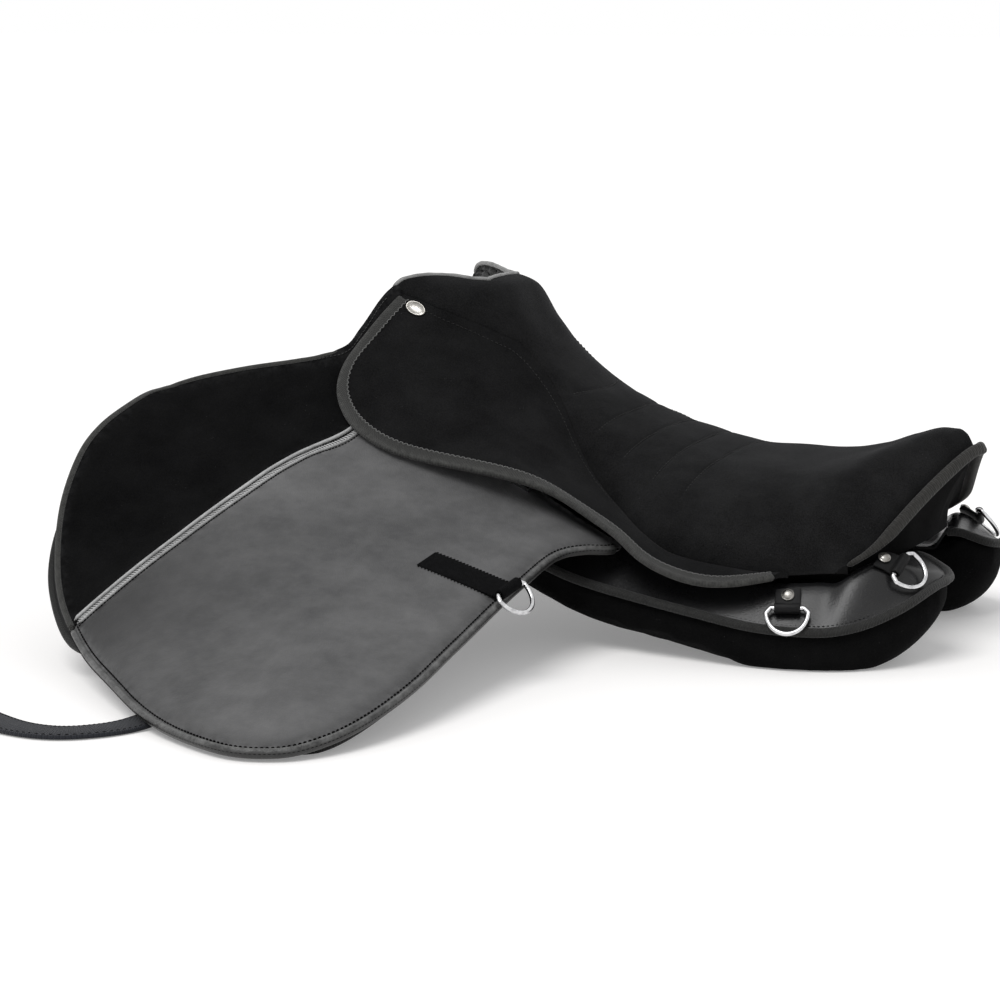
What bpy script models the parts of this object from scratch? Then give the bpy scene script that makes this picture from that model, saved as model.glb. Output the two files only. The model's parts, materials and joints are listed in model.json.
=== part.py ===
# Endurance saddle lying on a flat surface with its flaps spread out
# Metres; +Z up, -X towards the pommel, -Y the near side, Z = 0 the surface it lies on
import math

import bmesh
import bpy
import numpy as np
from mathutils import Vector

for leftover in list(bpy.data.objects):
    bpy.data.objects.remove(leftover, do_unlink=True)

# Moves everything along X, so that the middle of the box is at X = 0
centreShift = 0.0676

# Driving sizes of the sheets and gaps
coverThickness = 0.0025
coverToFoam = 0.0028
treeThickness = 0.010
bearingGap = 0.0015
skirtThickness = 0.0036
skirtGap = 0.0030
skirtBindingThickness = 0.0050
skirtBindingWidth = 0.0100
flapThickness = 0.0040
flapBindingThickness = 0.0050
flapBindingWidth = 0.0070
sweatThickness = 0.0030
billetThickness = 0.0030
billetWidth = 0.0250
panelLeather = 0.0020
panelGap = 0.0075
panelUnderGap = 0.0010
panelBindingWidth = 0.0070
panelBindingThickness = 0.0060
layerGap = 0.0012
jointGap = 0.0003

# Seat
seatFront = -0.1500
seatTipX = -0.2030
seatBack = 0.2240
seamBackX = 0.1600
cantleBaseX = 0.1920
rimSoftness = 0.10
crownShare = 0.40
frontShare = 0.88
foamLeast = 0.0020
seatEdge = 0.0060
seatLip = 0.0040
seatBow = 0.0120
quiltFirst = -0.0639
quiltPitch = 0.0277
quiltCount = 5
quiltDepth = 0.0014
pipingRadius = 0.0024
pipingGap = 0.0010
cantleBindingHalf = 0.0045
cantleBindingGap = 0.0008
gussetThickness = 0.0020

# Hardware
deeWire = 0.0017
deeWidth = 0.0290
deeDepth = 0.0200
chapeWidth = 0.0180
chapeThickness = 0.0016
rivetRadius = 0.0045
badgeLength = 0.0170
badgeWidth = 0.0120
badgeThickness = 0.0016
badgeGap = 0.0020
badgeX = -0.1880
badgeY = 0.0850
badgeSides = 16
chapeLength = 0.0170
rivetAt = 0.0115
hardwareGap = 0.0005
chapeBaseGap = 0.0010
curlTurn = 1.50
plateThickness = 0.0030
plateGap = 0.0010
plateLegs = [(0.0140, 0.0035), (0.0160, 0.0170)]

# Stirrup bars: middle, slopes, and places along and across the bar
barThickness = 0.0055
barPlace = (-0.1100, 0.1200, 0.1430)
barRake = 0.45
barLean = 0.68
barBack = -0.0550
barEnd = 0.0340
barRailEnd = 0.0250
barInner = (-0.0200, -0.0100)
barOuter = (0.0140, 0.0230)
barLeg = 0.0110
tongueWidth = 0.0036
tongueHalf = 0.0025
pinAt = barEnd + 0.0050
pinRadius = 0.0011
pinClearance = 0.0003
pinReach = 0.0008
catchThickness = 0.0050
catchLength = 0.0140
catchSlot = 0.0077

# Tabs with a dee at the rear edge of each flap
tabWidth = 0.0235
tabLength = 0.0670
tabThickness = 0.0018
tabX = -0.0237
tabY = 0.2674
tabTurn = 4.5
tabGap = 0.0014
flapDeeWidth = 0.0315
deeDroop = 30

# Stations along the seat's side seam: x, half-width, height of the seam
seamStations = [
    (-0.203, 0.0735, 0.2450),
    (-0.175, 0.0740, 0.2360),
    (-0.158, 0.0680, 0.2290),
    (-0.145, 0.0580, 0.2221),
    (-0.131, 0.0500, 0.2139),
    (-0.117, 0.0440, 0.2069),
    (-0.107, 0.0430, 0.1972),
    (-0.093, 0.0460, 0.1824),
    (-0.075, 0.0580, 0.1631),
    (-0.053, 0.0760, 0.1334),
    (-0.029, 0.0960, 0.1136),
    (-0.007, 0.1110, 0.0998),
    (0.0145, 0.1220, 0.0860),
    (0.0430, 0.1320, 0.0742),
    (0.0750, 0.1360, 0.0702),
    (0.1150, 0.1345, 0.0673),
    (0.1600, 0.1220, 0.0702),
]

# Height of the seat's crown along its length: x, height
crownStations = [
    (-0.205, 0.2620),
    (-0.188, 0.2580),
    (-0.172, 0.2540),
    (-0.160, 0.2510),
    (-0.149, 0.2500),
    (-0.137, 0.2470),
    (-0.120, 0.2235),
    (-0.103, 0.2025),
    (-0.086, 0.1860),
    (-0.070, 0.1728),
    (-0.053, 0.1642),
    (-0.036, 0.1550),
    (-0.020, 0.1480),
    (0.004, 0.1405),
    (0.029, 0.1340),
    (0.060, 0.1285),
    (0.092, 0.1275),
    (0.120, 0.1292),
    (0.147, 0.1345),
    (0.177, 0.1462),
    (0.204, 0.1545),
    (0.216, 0.1530),
    (0.224, 0.1440),
]

# Skirt: straight fold line, and the lower edge from its front end to the rear: x, outwards, height
foldFront = (-0.2205, 0.1030, 0.2065)
foldRear = (0.0120, 0.1610, 0.0875)
skirtEdge = [
    (-0.2205, 0.1030, 0.2065),
    (-0.2269, 0.1180, 0.1904),
    (-0.2254, 0.1320, 0.1748),
    (-0.2161, 0.1430, 0.1618),
    (-0.1996, 0.1550, 0.1503),
    (-0.1739, 0.1630, 0.1392),
    (-0.1450, 0.1650, 0.1326),
    (-0.1031, 0.1650, 0.1276),
    (-0.0750, 0.1640, 0.1240),
    (-0.0515, 0.1600, 0.1183),
    (-0.0321, 0.1580, 0.1108),
    (-0.0090, 0.1590, 0.0985),
    (0.0120, 0.1610, 0.0875),
    (0.0328, 0.1680, 0.0735),
    (0.0570, 0.1690, 0.0640),
    (0.0800, 0.1660, 0.0595),
    (0.1030, 0.1600, 0.0610),
    (0.1250, 0.1470, 0.0650),
]
skirtBulge = 0.0060

# Flap: straight fold line, outline seen from above, and the line where it comes down to the floor
flapFoldFront = (-0.3540, 0.1658, 0.1717)
flapFoldRear = (0.0320, 0.1780, 0.0650)
flapRearX = -0.0120
flapAxisRise = 0.0027
flapFloor = 0.0030
flapBelly = 0.15
seamRadius = 0.0016
flapFoot = [
    (-0.40, 0.375),
    (-0.36, 0.392),
    (-0.30, 0.415),
    (-0.21, 0.474),
    (-0.15, 0.498),
    (-0.10, 0.516),
    (-0.05, 0.500),
    (0.00, 0.470),
    (0.06, 0.440),
]
flapInnerSlope = [(-0.24, 0.90), (-0.216, 0.76), (-0.18, 0.78), (-0.11, 0.55), (-0.05, 0.25), (0.00, 0.10)]
flapFrontRise = [(-0.40, 0.045), (-0.348, 0.020), (-0.30, 0.006), (-0.20, 0.0)]
flapOutline = [
    (-0.3580, 0.1790),
    (-0.3640, 0.2080),
    (-0.3680, 0.2380),
    (-0.3680, 0.2650),
    (-0.3610, 0.2980),
    (-0.3470, 0.3270),
    (-0.3280, 0.3530),
    (-0.2990, 0.3800),
    (-0.2520, 0.4210),
    (-0.1970, 0.4650),
    (-0.1500, 0.4930),
    (-0.1040, 0.5110),
    (-0.0720, 0.5050),
    (-0.0510, 0.4850),
    (-0.0360, 0.4520),
    (-0.0265, 0.4010),
    (-0.0245, 0.3470),
    (-0.0240, 0.2860),
    (-0.0220, 0.2415),
    (-0.0190, 0.1966),
]
flapSeam = [
    (-0.2040, 0.1530),
    (-0.2220, 0.1757),
    (-0.2337, 0.2071),
    (-0.2428, 0.2405),
    (-0.2527, 0.2726),
    (-0.2629, 0.3018),
    (-0.2751, 0.3281),
    (-0.2879, 0.3515),
    (-0.3020, 0.3740),
]

# Panel stations: x, inner edge, outer edge, height of the outer edge, underside outside, underside inside
panelStations = [
    (-0.205, 0.050, 0.128, 0.1360, 0.1120, 0.1720),
    (-0.180, 0.043, 0.140, 0.1200, 0.0930, 0.1700),
    (-0.140, 0.034, 0.146, 0.1050, 0.0750, 0.1650),
    (-0.100, 0.030, 0.150, 0.0860, 0.0560, 0.1300),
    (-0.060, 0.034, 0.154, 0.0640, 0.0360, 0.0950),
    (-0.017, 0.040, 0.158, 0.0500, 0.0210, 0.0600),
    (0.025, 0.040, 0.161, 0.0430, 0.0150, 0.0450),
    (0.075, 0.040, 0.162, 0.0350, 0.0080, 0.0320),
    (0.118, 0.040, 0.160, 0.0285, 0.0000, 0.0240),
    (0.160, 0.042, 0.150, 0.0270, 0.0000, 0.0210),
    (0.180, 0.044, 0.140, 0.0295, 0.0010, 0.0210),
    (0.197, 0.047, 0.128, 0.0370, 0.0070, 0.0240),
    (0.211, 0.051, 0.115, 0.0460, 0.0180, 0.0290),
    (0.221, 0.056, 0.099, 0.0550, 0.0310, 0.0370),
    (0.226, 0.062, 0.086, 0.0590, 0.0420, 0.0450),
]
panelShoulder = 0.0100

# Height of the panel's leather behind the seat, where it slopes down to the tip: x, height
panelRear = [
    (0.150, 0.0680),
    (0.160, 0.0705),
    (0.176, 0.0735),
    (0.190, 0.0735),
    (0.200, 0.0700),
    (0.214, 0.0640),
    (0.226, 0.0590),
]

# Dees on the panels: place of the straight bar seen from above, and degrees that they turn backwards
panelDees = {"front": (0.1341, 0.1459, 24), "rear": (0.1975, 0.1000, 104)}

sides = {"near": -1, "off": 1}
suede = (0.020, 0.020, 0.021)
leather = (0.055, 0.056, 0.058)
tape = (0.035, 0.036, 0.037)
steel = (0.62, 0.62, 0.63)


# Curves and frames
def smooth(stations, column=1):
    xs = np.array([row[0] for row in stations])
    ys = np.array([row[column] for row in stations])
    step = np.diff(xs)
    slope = np.diff(ys) / step
    tangent = np.zeros(len(xs))
    tangent[0] = slope[0]
    tangent[-1] = slope[-1]
    for k in range(1, len(xs) - 1):
        if slope[k - 1] * slope[k] > 0:
            tangent[k] = 2 * slope[k - 1] * slope[k] / (slope[k - 1] + slope[k])

    def value(x):
        x = min(max(x, xs[0]), xs[-1])
        k = min(int(np.searchsorted(xs, x, side="right")) - 1, len(step) - 1)
        t = (x - xs[k]) / step[k]
        ends = (2 * t**3 - 3 * t**2 + 1) * ys[k] + (3 * t**2 - 2 * t**3) * ys[k + 1]
        turns = (t**3 - 2 * t**2 + t) * tangent[k] + (t**3 - t**2) * tangent[k + 1]
        return float(ends + step[k] * turns)

    return value


def along(points, count, start=0.0, end=1.0):
    # evenly spaced points on a smooth curve through the given ones
    knots = [Vector(p) for p in points]
    ends = [knots[0] * 2 - knots[1]] + knots + [knots[-1] * 2 - knots[-2]]
    fine = []
    for k in range(1, len(ends) - 2):
        a, b, c, d = ends[k - 1:k + 3]
        for step in range(12):
            t = step / 12
            fine.append(0.5 * (2 * b + (c - a) * t + (2 * a - 5 * b + 4 * c - d) * t**2
                               + (3 * b - a - 3 * c + d) * t**3))
    fine.append(knots[-1].copy())
    run = [0.0]
    for a, b in zip(fine, fine[1:]):
        run.append(run[-1] + (b - a).length)
    out = []
    for k in range(count):
        goal = run[-1] * (start + (end - start) * k / (count - 1))
        place = min(max(int(np.searchsorted(run, goal)), 1), len(run) - 1)
        t = (goal - run[place - 1]) / max(run[place] - run[place - 1], 1e-9)
        out.append(fine[place - 1].lerp(fine[place], t))
    return out


def ease(x, low, high):
    t = min(max((x - low) / (high - low), 0.0), 1.0)
    return t * t * (3 - 2 * t)


# Meshes
madeNodes = {}


def tell_hinge(name, pivot, axis):
    place = Vector(pivot) + Vector((centreShift, 0, 0))
    turn = Vector(axis).normalized()
    print("hinge", name, [round(c, 5) for c in place], [round(c, 5) for c in turn])


def material_for(name, colour, roughness, metallic):
    made = bpy.data.materials.new(name)
    made.use_nodes = True
    shader = made.node_tree.nodes["Principled BSDF"]
    shader.inputs["Base Color"].default_value = (*colour, 1)
    shader.inputs["Roughness"].default_value = roughness
    shader.inputs["Metallic"].default_value = metallic
    return made


finishes = {
    "suede": (suede, 0.95, 0.0),
    "leather": (leather, 0.45, 0.0),
    "tape": (tape, 0.85, 0.0),
    "steel": (steel, 0.18, 1.0),
    "foam": (tape, 0.95, 0.0),
    "shell": (suede, 0.55, 0.0),
}


def add_node(name, mesh, finish, pivot=None):
    bmesh.ops.translate(mesh, verts=mesh.verts, vec=(centreShift, 0, 0))
    mesh.normal_update()
    data = bpy.data.meshes.new(name)
    mesh.to_mesh(data)
    mesh.free()
    data.shade_smooth()
    data.set_sharp_from_angle(angle=math.radians(40))
    colour, roughness, metallic = finishes[finish]
    data.materials.append(material_for(name, colour, roughness, metallic))
    made = bpy.data.objects.new(name, data)
    bpy.context.scene.collection.objects.link(made)
    if pivot is not None:
        centre = Vector(pivot) + Vector((centreShift, 0, 0))
        for vertex in data.vertices:
            vertex.co -= centre
        made.location = centre
    madeNodes[name] = made
    return made


def grid_mesh(top, bottom):
    # closed slab between two grids of points with the same layout
    mesh = bmesh.new()
    upper = [[mesh.verts.new(p) for p in row] for row in top]
    lower = [[mesh.verts.new(p) for p in row] for row in bottom]
    rows = len(top)
    cols = len(top[0])
    for i in range(rows - 1):
        for j in range(cols - 1):
            mesh.faces.new((upper[i][j], upper[i + 1][j], upper[i + 1][j + 1], upper[i][j + 1]))
            mesh.faces.new((lower[i][j], lower[i][j + 1], lower[i + 1][j + 1], lower[i + 1][j]))
    edge = [(i, 0) for i in range(rows)] + [(rows - 1, j) for j in range(1, cols)]
    edge += [(i, cols - 1) for i in range(rows - 2, -1, -1)] + [(0, j) for j in range(cols - 2, 0, -1)]
    for (i, j), (k, m) in zip(edge, edge[1:] + edge[:1]):
        mesh.faces.new((upper[i][j], lower[i][j], lower[k][m], upper[k][m]))
    bmesh.ops.recalc_face_normals(mesh, faces=mesh.faces)
    return mesh


def loft_mesh(rings, closed=False):
    # skin over rings with the same count of points; open lofts get flat fans as caps
    mesh = bmesh.new()
    loops = [[mesh.verts.new(p) for p in ring] for ring in rings]
    count = len(rings[0])
    pairs = list(zip(loops, loops[1:]))
    if closed:
        pairs.append((loops[-1], loops[0]))
    for a, b in pairs:
        for k in range(count):
            m = (k + 1) % count
            mesh.faces.new((a[k], a[m], b[m], b[k]))
    if not closed:
        for loop in (loops[0], loops[-1]):
            middle = mesh.verts.new(sum((v.co for v in loop), Vector()) / count)
            for k in range(count):
                mesh.faces.new((loop[k], loop[(k + 1) % count], middle))
    bmesh.ops.recalc_face_normals(mesh, faces=mesh.faces)
    return mesh


def section_rings(path, outline, upward, closed=False):
    # carries a flat outline (across, up) along a path; upward gives the up direction at each point
    rings = []
    last = len(path) - 1
    for k, point in enumerate(path):
        before = path[k - 1] if k or closed else path[k]
        after = path[(k + 1) % len(path)] if k < last or closed else path[k]
        forward = (Vector(after) - Vector(before)).normalized()
        up = Vector(upward[k]) - forward * forward.dot(Vector(upward[k]))
        up.normalize()
        across = forward.cross(up)
        rings.append([Vector(point) + across * a + up * b for a, b in outline])
    return rings


def round_outline(radius, sides, tall=None):
    tall = tall or radius
    turn = [2 * math.pi * (k + 0.5) / sides for k in range(sides)]
    return [(radius * math.cos(a), tall * math.sin(a)) for a in turn]


def bar_outline(width, thickness):
    w = width / 2
    h = thickness / 2
    return [(-w, -h), (w, -h), (w, h), (-w, h)]


def fan_sheet(outline, surface, thickness, rings, side):
    # sheet with a given outline seen from above, lying on a height surface
    middle = Vector((sum(p[0] for p in outline) / len(outline), sum(p[1] for p in outline) / len(outline)))
    mesh = bmesh.new()
    layers = []
    for offset in (thickness / 2, -thickness / 2):
        loops = []
        for share in rings:
            loop = []
            for x, y in outline:
                spot = middle.lerp(Vector((x, y)), share)
                loop.append(mesh.verts.new((spot.x, side * spot.y, surface(spot.x, spot.y, offset))))
            loops.append(loop)
        centre = mesh.verts.new((middle.x, side * middle.y, surface(middle.x, middle.y, offset)))
        layers.append((loops, centre))
    count = len(outline)
    for loops, centre in layers:
        for a, b in zip(loops, loops[1:]):
            for k in range(count):
                m = (k + 1) % count
                mesh.faces.new((a[k], a[m], b[m], b[k]))
        for k in range(count):
            mesh.faces.new((loops[-1][k], loops[-1][(k + 1) % count], centre))
    top = layers[0][0][0]
    low = layers[1][0][0]
    for k in range(count):
        m = (k + 1) % count
        mesh.faces.new((top[k], top[m], low[m], low[k]))
    bmesh.ops.recalc_face_normals(mesh, faces=mesh.faces)
    return mesh


# Master surfaces
halfWidth = smooth(seamStations, 1)
seamHeight = smooth(seamStations, 2)
crownHeight = smooth(crownStations)
footLine = smooth(flapFoot)
innerSlope = smooth(flapInnerSlope)
frontRise = smooth(flapFrontRise)


def seat_plan(u, v):
    # u runs from the pommel to the cantle, v from the near seam (-1) to the off seam (+1)
    a = abs(v)
    centreX = seatFront + (seatBack - seatFront) * u
    frontPart = max(0.0, 1 - u / 0.3) ** 2
    backPart = max(0.0, (u - 0.62) / 0.38) ** 2
    skew = seatBow + (seatFront - seatTipX - seatBow) * frontPart
    skew += (seatBack - seamBackX - seatBow) * backPart
    front = max(a - 0.38, 0.0) ** 0.8 / 0.62 ** 0.8
    back = 0.7 * a + 0.3 * a**14
    share = front * frontPart + back * backPart + a * a * (1 - frontPart - backPart)
    seamX = centreX - skew
    x = centreX - skew * share
    y = v * halfWidth(seamX)
    behind = ease(u, 0.45, 0.70)
    across = min(abs(y) / halfWidth(x), 1.0)
    across += (a - across) * behind
    seamAt = x + (seamX - x) * behind
    crownAt = x + (centreX - x) * behind
    return x, y, min(across, 1.0), seamHeight(seamAt), crownHeight(crownAt), centreX


def quilt_drop(centreX):
    near = min(abs(centreX - quiltFirst - k * quiltPitch) for k in range(quiltCount))
    return quiltDepth * max(0.0, 1 - near / (0.30 * quiltPitch))


def seat_skin(u, v):
    x, y, across, seam, crown, centreX = seat_plan(u, v)
    backwards = ease(u, 0.75, 1.0)
    onSlope = ease(u, 0.04, 0.18) * (1 - ease(u, 0.45, 0.65))
    sharp = 3.2 - 2.2 * backwards - 0.9 * onSlope
    power = 0.5 + 0.20 * backwards + 0.06 * onSlope
    eased = (math.hypot(across, rimSoftness) - rimSoftness) / (math.hypot(1, rimSoftness) - rimSoftness)
    across = min(across + (eased - across) * backwards, 1.0)
    base = seam - seatLip
    rise = max(0.0, 1 - across**sharp) ** power
    return Vector((x, y, base + (crown - base) * rise))


def seat_normal(u, v):
    reach = 0.012
    downward = seat_skin(min(u + reach, 1.0), v) - seat_skin(max(u - reach, 0.0), v)
    across = seat_skin(u, min(v + reach, 1.0)) - seat_skin(u, max(v - reach, -1.0))
    return downward.cross(across).normalized()


def seat_top(u, v, inward=0.0, quilted=True):
    # a point on the seat, or under it by a distance square to its surface
    point = seat_skin(u, v) - seat_normal(u, v) * inward
    if quilted:
        point.z -= quilt_drop(seat_plan(u, v)[5]) * ease(1 - abs(v), 0.15, 0.35)
    return point


def deck(u, v, lower=0.0):
    # the surface between the seat and the tree
    x, y, across, seam, crown, centreX = seat_plan(u, v)
    backwards = ease(u, 0.6, 1.0)
    reach = seamBackX + (cantleBaseX - seamBackX) * (1 - v * v)
    x -= (seat_plan(1.0, v)[0] - reach) * backwards
    rise = crownShare * (crown - seam) * (1 - across * across) * (1 - 0.45 * backwards)
    return Vector((x, y, seam - seatEdge + rise - lower))


def flap_surface(x, y):
    t = (x - flapFoldFront[0]) / (flapFoldRear[0] - flapFoldFront[0])
    ridgeY = flapFoldFront[1] + t * (flapFoldRear[1] - flapFoldFront[1])
    ridgeZ = flapFoldFront[2] + t * (flapFoldRear[2] - flapFoldFront[2])
    if y < ridgeY:
        return ridgeZ + innerSlope(x) * (ridgeY - y)
    share = (y - ridgeY) / (footLine(x) - ridgeY)
    if share > 1:
        return flapFloor
    rise = (ridgeZ - flapFloor) * (1 - share) * (1 + flapBelly * share)
    return flapFloor + rise + 4 * frontRise(x) * share * (1 - share)


def flap_layer(centre):
    # heights for a sheet whose middle lies a set distance above the flap's own middle
    def height(x, y, offset):
        reach = 0.012
        dx = (flap_surface(x + reach, y) - flap_surface(x - reach, y)) / (2 * reach)
        dy = (flap_surface(x, y + reach) - flap_surface(x, y - reach)) / (2 * reach)
        return flap_surface(x, y) + (centre + offset) * math.sqrt(1 + dx * dx + dy * dy)

    return height


# Seat cover, foam and tree
def quilted_rows():
    rows = [0.0, 0.05, 0.09, 0.12, 0.15, 0.19]
    length = seatBack - seatFront
    for k in range(quiltCount):
        centre = (quiltFirst + k * quiltPitch - seatFront) / length
        rows += [centre, centre + quiltPitch / length * 0.34, centre + quiltPitch / length * 0.67]
    rows += [0.60, 0.67, 0.74, 0.81, 0.87, 0.92, 0.96, 0.985, 1.0]
    return sorted(set(round(row, 5) for row in rows))


def seat_columns(count, reach=1.0):
    # columns crowd towards the seams, where the seat turns down
    return [reach * math.sin(math.pi / 2 * (2 * k / (count - 1) - 1)) for k in range(count)]


def build_cover():
    rows = quilted_rows()
    cols = seat_columns(17)
    outer = [[seat_top(u, v) for v in cols] for u in rows]
    inner = [[seat_top(u, v, coverThickness) for v in cols] for u in rows]
    for line, skin in zip(inner, outer):
        for j in (0, len(cols) - 1):
            inwards = math.copysign(coverThickness, skin[j].y)
            line[j] = Vector((skin[j].x, skin[j].y - inwards, skin[j].z))
    front = [Vector((p.x, p.y, deck(0.0, v).z + 0.003)) for p, v in zip(outer[0], cols)]
    behind = []
    for p, v in zip(front, cols):
        behind.append(Vector((p.x + coverThickness, p.y - coverThickness * v, p.z)))
    for p, q in zip(inner[0], behind):
        p.x = q.x
        p.y = q.y
        p.z = p.z - coverThickness * 0.5
    outer.insert(0, front)
    inner.insert(0, behind)
    add_node("seat_cover", grid_mesh(outer, inner), "suede")


bearingRows = [0.030, 0.07, 0.12, 0.17, 0.22, 0.27, 0.32, 0.38, 0.45, 0.52]
bearingRows += [0.60, 0.68, 0.75, 0.82, 0.87, 0.91, 0.945]
bearingColumns = seat_columns(13, 0.88)
treeColumns = bearingColumns[2:-2]
treeReach = treeColumns[-1]


def drawn_in(u, v):
    # the foam and the tree are narrower than the seat at its front
    return v * (frontShare + (1 - frontShare) * ease(u, 0.15, 0.40))


def bearing(u, v, lower=0.0):
    return deck(u, drawn_in(u, v), lower)


def build_foam():
    rows = bearingRows
    cols = bearingColumns
    drop = coverThickness + quiltDepth + coverToFoam
    top = []
    low = [[bearing(u, v) for v in cols] for u in rows]
    for u, lower in zip(rows, low):
        line = []
        for v, below in zip([drawn_in(u, v) for v in cols], lower):
            point = seat_skin(u, v)
            point.z -= drop / max(seat_normal(u, v).z, 0.30)
            point.z = max(point.z, below.z + foamLeast)
            line.append(point)
        top.append(line)
    add_node("seat_foam", grid_mesh(top, low), "foam")


def build_tree():
    rows = bearingRows
    cols = treeColumns
    top = [[bearing(u, v, bearingGap) for v in cols] for u in rows]
    low = [[bearing(u, v, bearingGap + treeThickness) for v in cols] for u in rows]
    add_node("tree", grid_mesh(top, low), "shell")


def mirrored(points, side):
    return [Vector((q[0], side * q[1], q[2])) for q in points]


def build_piping():
    shares = [-0.98 + 1.96 * k / 34 for k in range(35)]
    rim = [seat_skin(0.0, v) for v in shares]
    path = []
    last = len(rim) - 1
    for k, point in enumerate(rim):
        run = rim[min(k + 1, last)] - rim[max(k - 1, 0)]
        outward = Vector((-run.y, run.x, 0)).normalized()
        path.append(point + outward * (pipingRadius + pipingGap))
    rings = section_rings(path, round_outline(pipingRadius, 6), [(0, 0, 1)] * len(path))
    add_node("pommel_piping", loft_mesh(rings), "leather")


def build_cantle():
    shares = [-0.965 + 1.93 * k / 24 for k in range(25)]
    rim = [seat_skin(1.0, v) for v in shares]
    path = []
    last = len(rim) - 1
    for k, point in enumerate(rim):
        run = rim[min(k + 1, last)] - rim[max(k - 1, 0)]
        outward = Vector((run.y, -run.x, 0)).normalized()
        path.append(point + outward * (cantleBindingHalf + cantleBindingGap))
    rings = section_rings(path, round_outline(cantleBindingHalf, 8), [(0, 0, 1)] * len(path))
    add_node("cantle_binding", loft_mesh(rings), "leather")
    cols = [-0.90 + 1.80 * k / 18 for k in range(19)]
    outer = []
    inner = []
    for share in (0.0, 0.33, 0.67, 1.0):
        outerLine = []
        innerLine = []
        for v in cols:
            top = seat_skin(1.0, v)
            low = deck(1.0, v)
            start = Vector((top.x - 0.0010, top.y, top.z - coverThickness - 0.0035))
            end = Vector((low.x + 0.0030, low.y, low.z))
            point = start.lerp(end, share)
            point.x -= 0.004 * math.sin(math.pi * share)
            outerLine.append(point)
            innerLine.append(point - Vector((gussetThickness, 0, 0)))
        outer.append(outerLine)
        inner.append(innerLine)
    add_node("cantle_gusset", grid_mesh(outer, inner), "suede")


# Skirts: a fixed upper part, and a lower part that folds up over the stirrup bar
def upright(points, thickness, slope=1.2):
    half = thickness * slope / 2
    top = [[p + Vector((0, 0, half)) for p in row] for row in points]
    low = [[p - Vector((0, 0, half)) for p in row] for row in points]
    return top, low


foldIndex = 12
skirtFoldTop = skirtThickness * 1.2 / 2


def fold_point(share, inwards=0.0):
    point = Vector(foldFront).lerp(Vector(foldRear), share)
    run = (Vector(foldRear) - Vector(foldFront)).normalized()
    square = Vector((run.y, -run.x, 0)).normalized()
    return point + square * inwards


def skirt_inner(share):
    x = -0.2005 + 0.3300 * share
    return Vector((x, halfWidth(x) + skirtGap, seamHeight(x) - seatLip))


def build_skirt(name, side):
    turn = 0.62
    rearEdge = along(skirtEdge[foldIndex:], 60)
    grid = []
    steps = [0.05 * k for k in range(4)] + [0.20 + 0.025 * k for k in range(10)]
    steps += [0.45 + 0.55 * k / 12 for k in range(13)]
    for t in steps:
        inner = skirt_inner(t)
        if t <= turn:
            outer = fold_point(t / turn, jointGap / 2)
        else:
            outer = rearEdge[round(59 * (t - turn) / (1 - turn))]
        row = []
        for q in (0.0, 0.25, 0.5, 0.75, 1.0):
            point = inner.lerp(outer, q)
            point.z += 0.25 * skirtBulge * 4 * q * (1 - q)
            row.append(Vector((point.x, side * point.y, point.z)))
        grid.append(row)
    top, low = upright(grid, skirtThickness)
    add_node("skirt_top_" + name, grid_mesh(top, low), "suede")

    edge = along(skirtEdge[:foldIndex + 1], 200)
    sheet = []
    band = []
    for k in range(25):
        p = 0.035 + 0.93 * k / 24
        crease = fold_point(p, -jointGap / 2)
        outer = edge[round(199 * p)]
        wide = (outer - crease).length
        direction = (outer - crease) / wide
        width = min(skirtBindingWidth, wide - 0.0016)
        bulge = skirtBulge * min(1.0, wide / 0.03)

        def lifted(distance, crease=crease, direction=direction, wide=wide, bulge=bulge):
            share = distance / wide
            point = crease + direction * distance
            point.z += bulge * 4 * share * (1 - share) * 0.6
            return Vector((point.x, side * point.y, point.z))

        if wide > skirtBindingWidth + 0.006:
            stop = wide - width - jointGap
            sheet.append([lifted(stop * q / 4) for q in range(5)])
        band.append([lifted(wide - width), lifted(wide - width / 2), lifted(wide)])
    axis = fold_point(0.0)
    pivot = Vector((axis.x, side * axis.y, axis.z + skirtFoldTop))
    run = fold_point(1.0) - axis
    tell_hinge("skirt_" + name, pivot, Vector((run.x, side * run.y, run.z)) * side)
    top, low = upright(sheet, skirtThickness)
    add_node("skirt_fold_" + name, grid_mesh(top, low), "suede", pivot)
    top, low = upright(band, skirtBindingThickness)
    add_node("skirt_binding_" + name, grid_mesh(top, low), "tape", pivot)


# Flaps
def flap_fold(x):
    t = (x - flapFoldFront[0]) / (flapFoldRear[0] - flapFoldFront[0])
    return Vector(flapFoldFront).lerp(Vector(flapFoldRear), t)


def inward_outline(outline, distance):
    # moves a closed outline inwards by a fixed distance
    spots = [Vector((q[0], q[1])) for q in outline]
    area = sum(a.cross(b) for a, b in zip(spots, spots[1:] + spots[:1]))
    turn = 1 if area > 0 else -1
    out = []
    count = len(spots)
    for k, spot in enumerate(spots):
        run = spots[(k + 1) % count] - spots[k - 1]
        inward = Vector((-run.y, run.x)).normalized() * turn
        out.append(spot + inward * distance)
    return out


def plan_curve(points, count, start=0.0, end=1.0):
    return [(q.x, q.y) for q in along([(a, b, 0.0) for a, b in points], count, start, end)]


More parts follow.
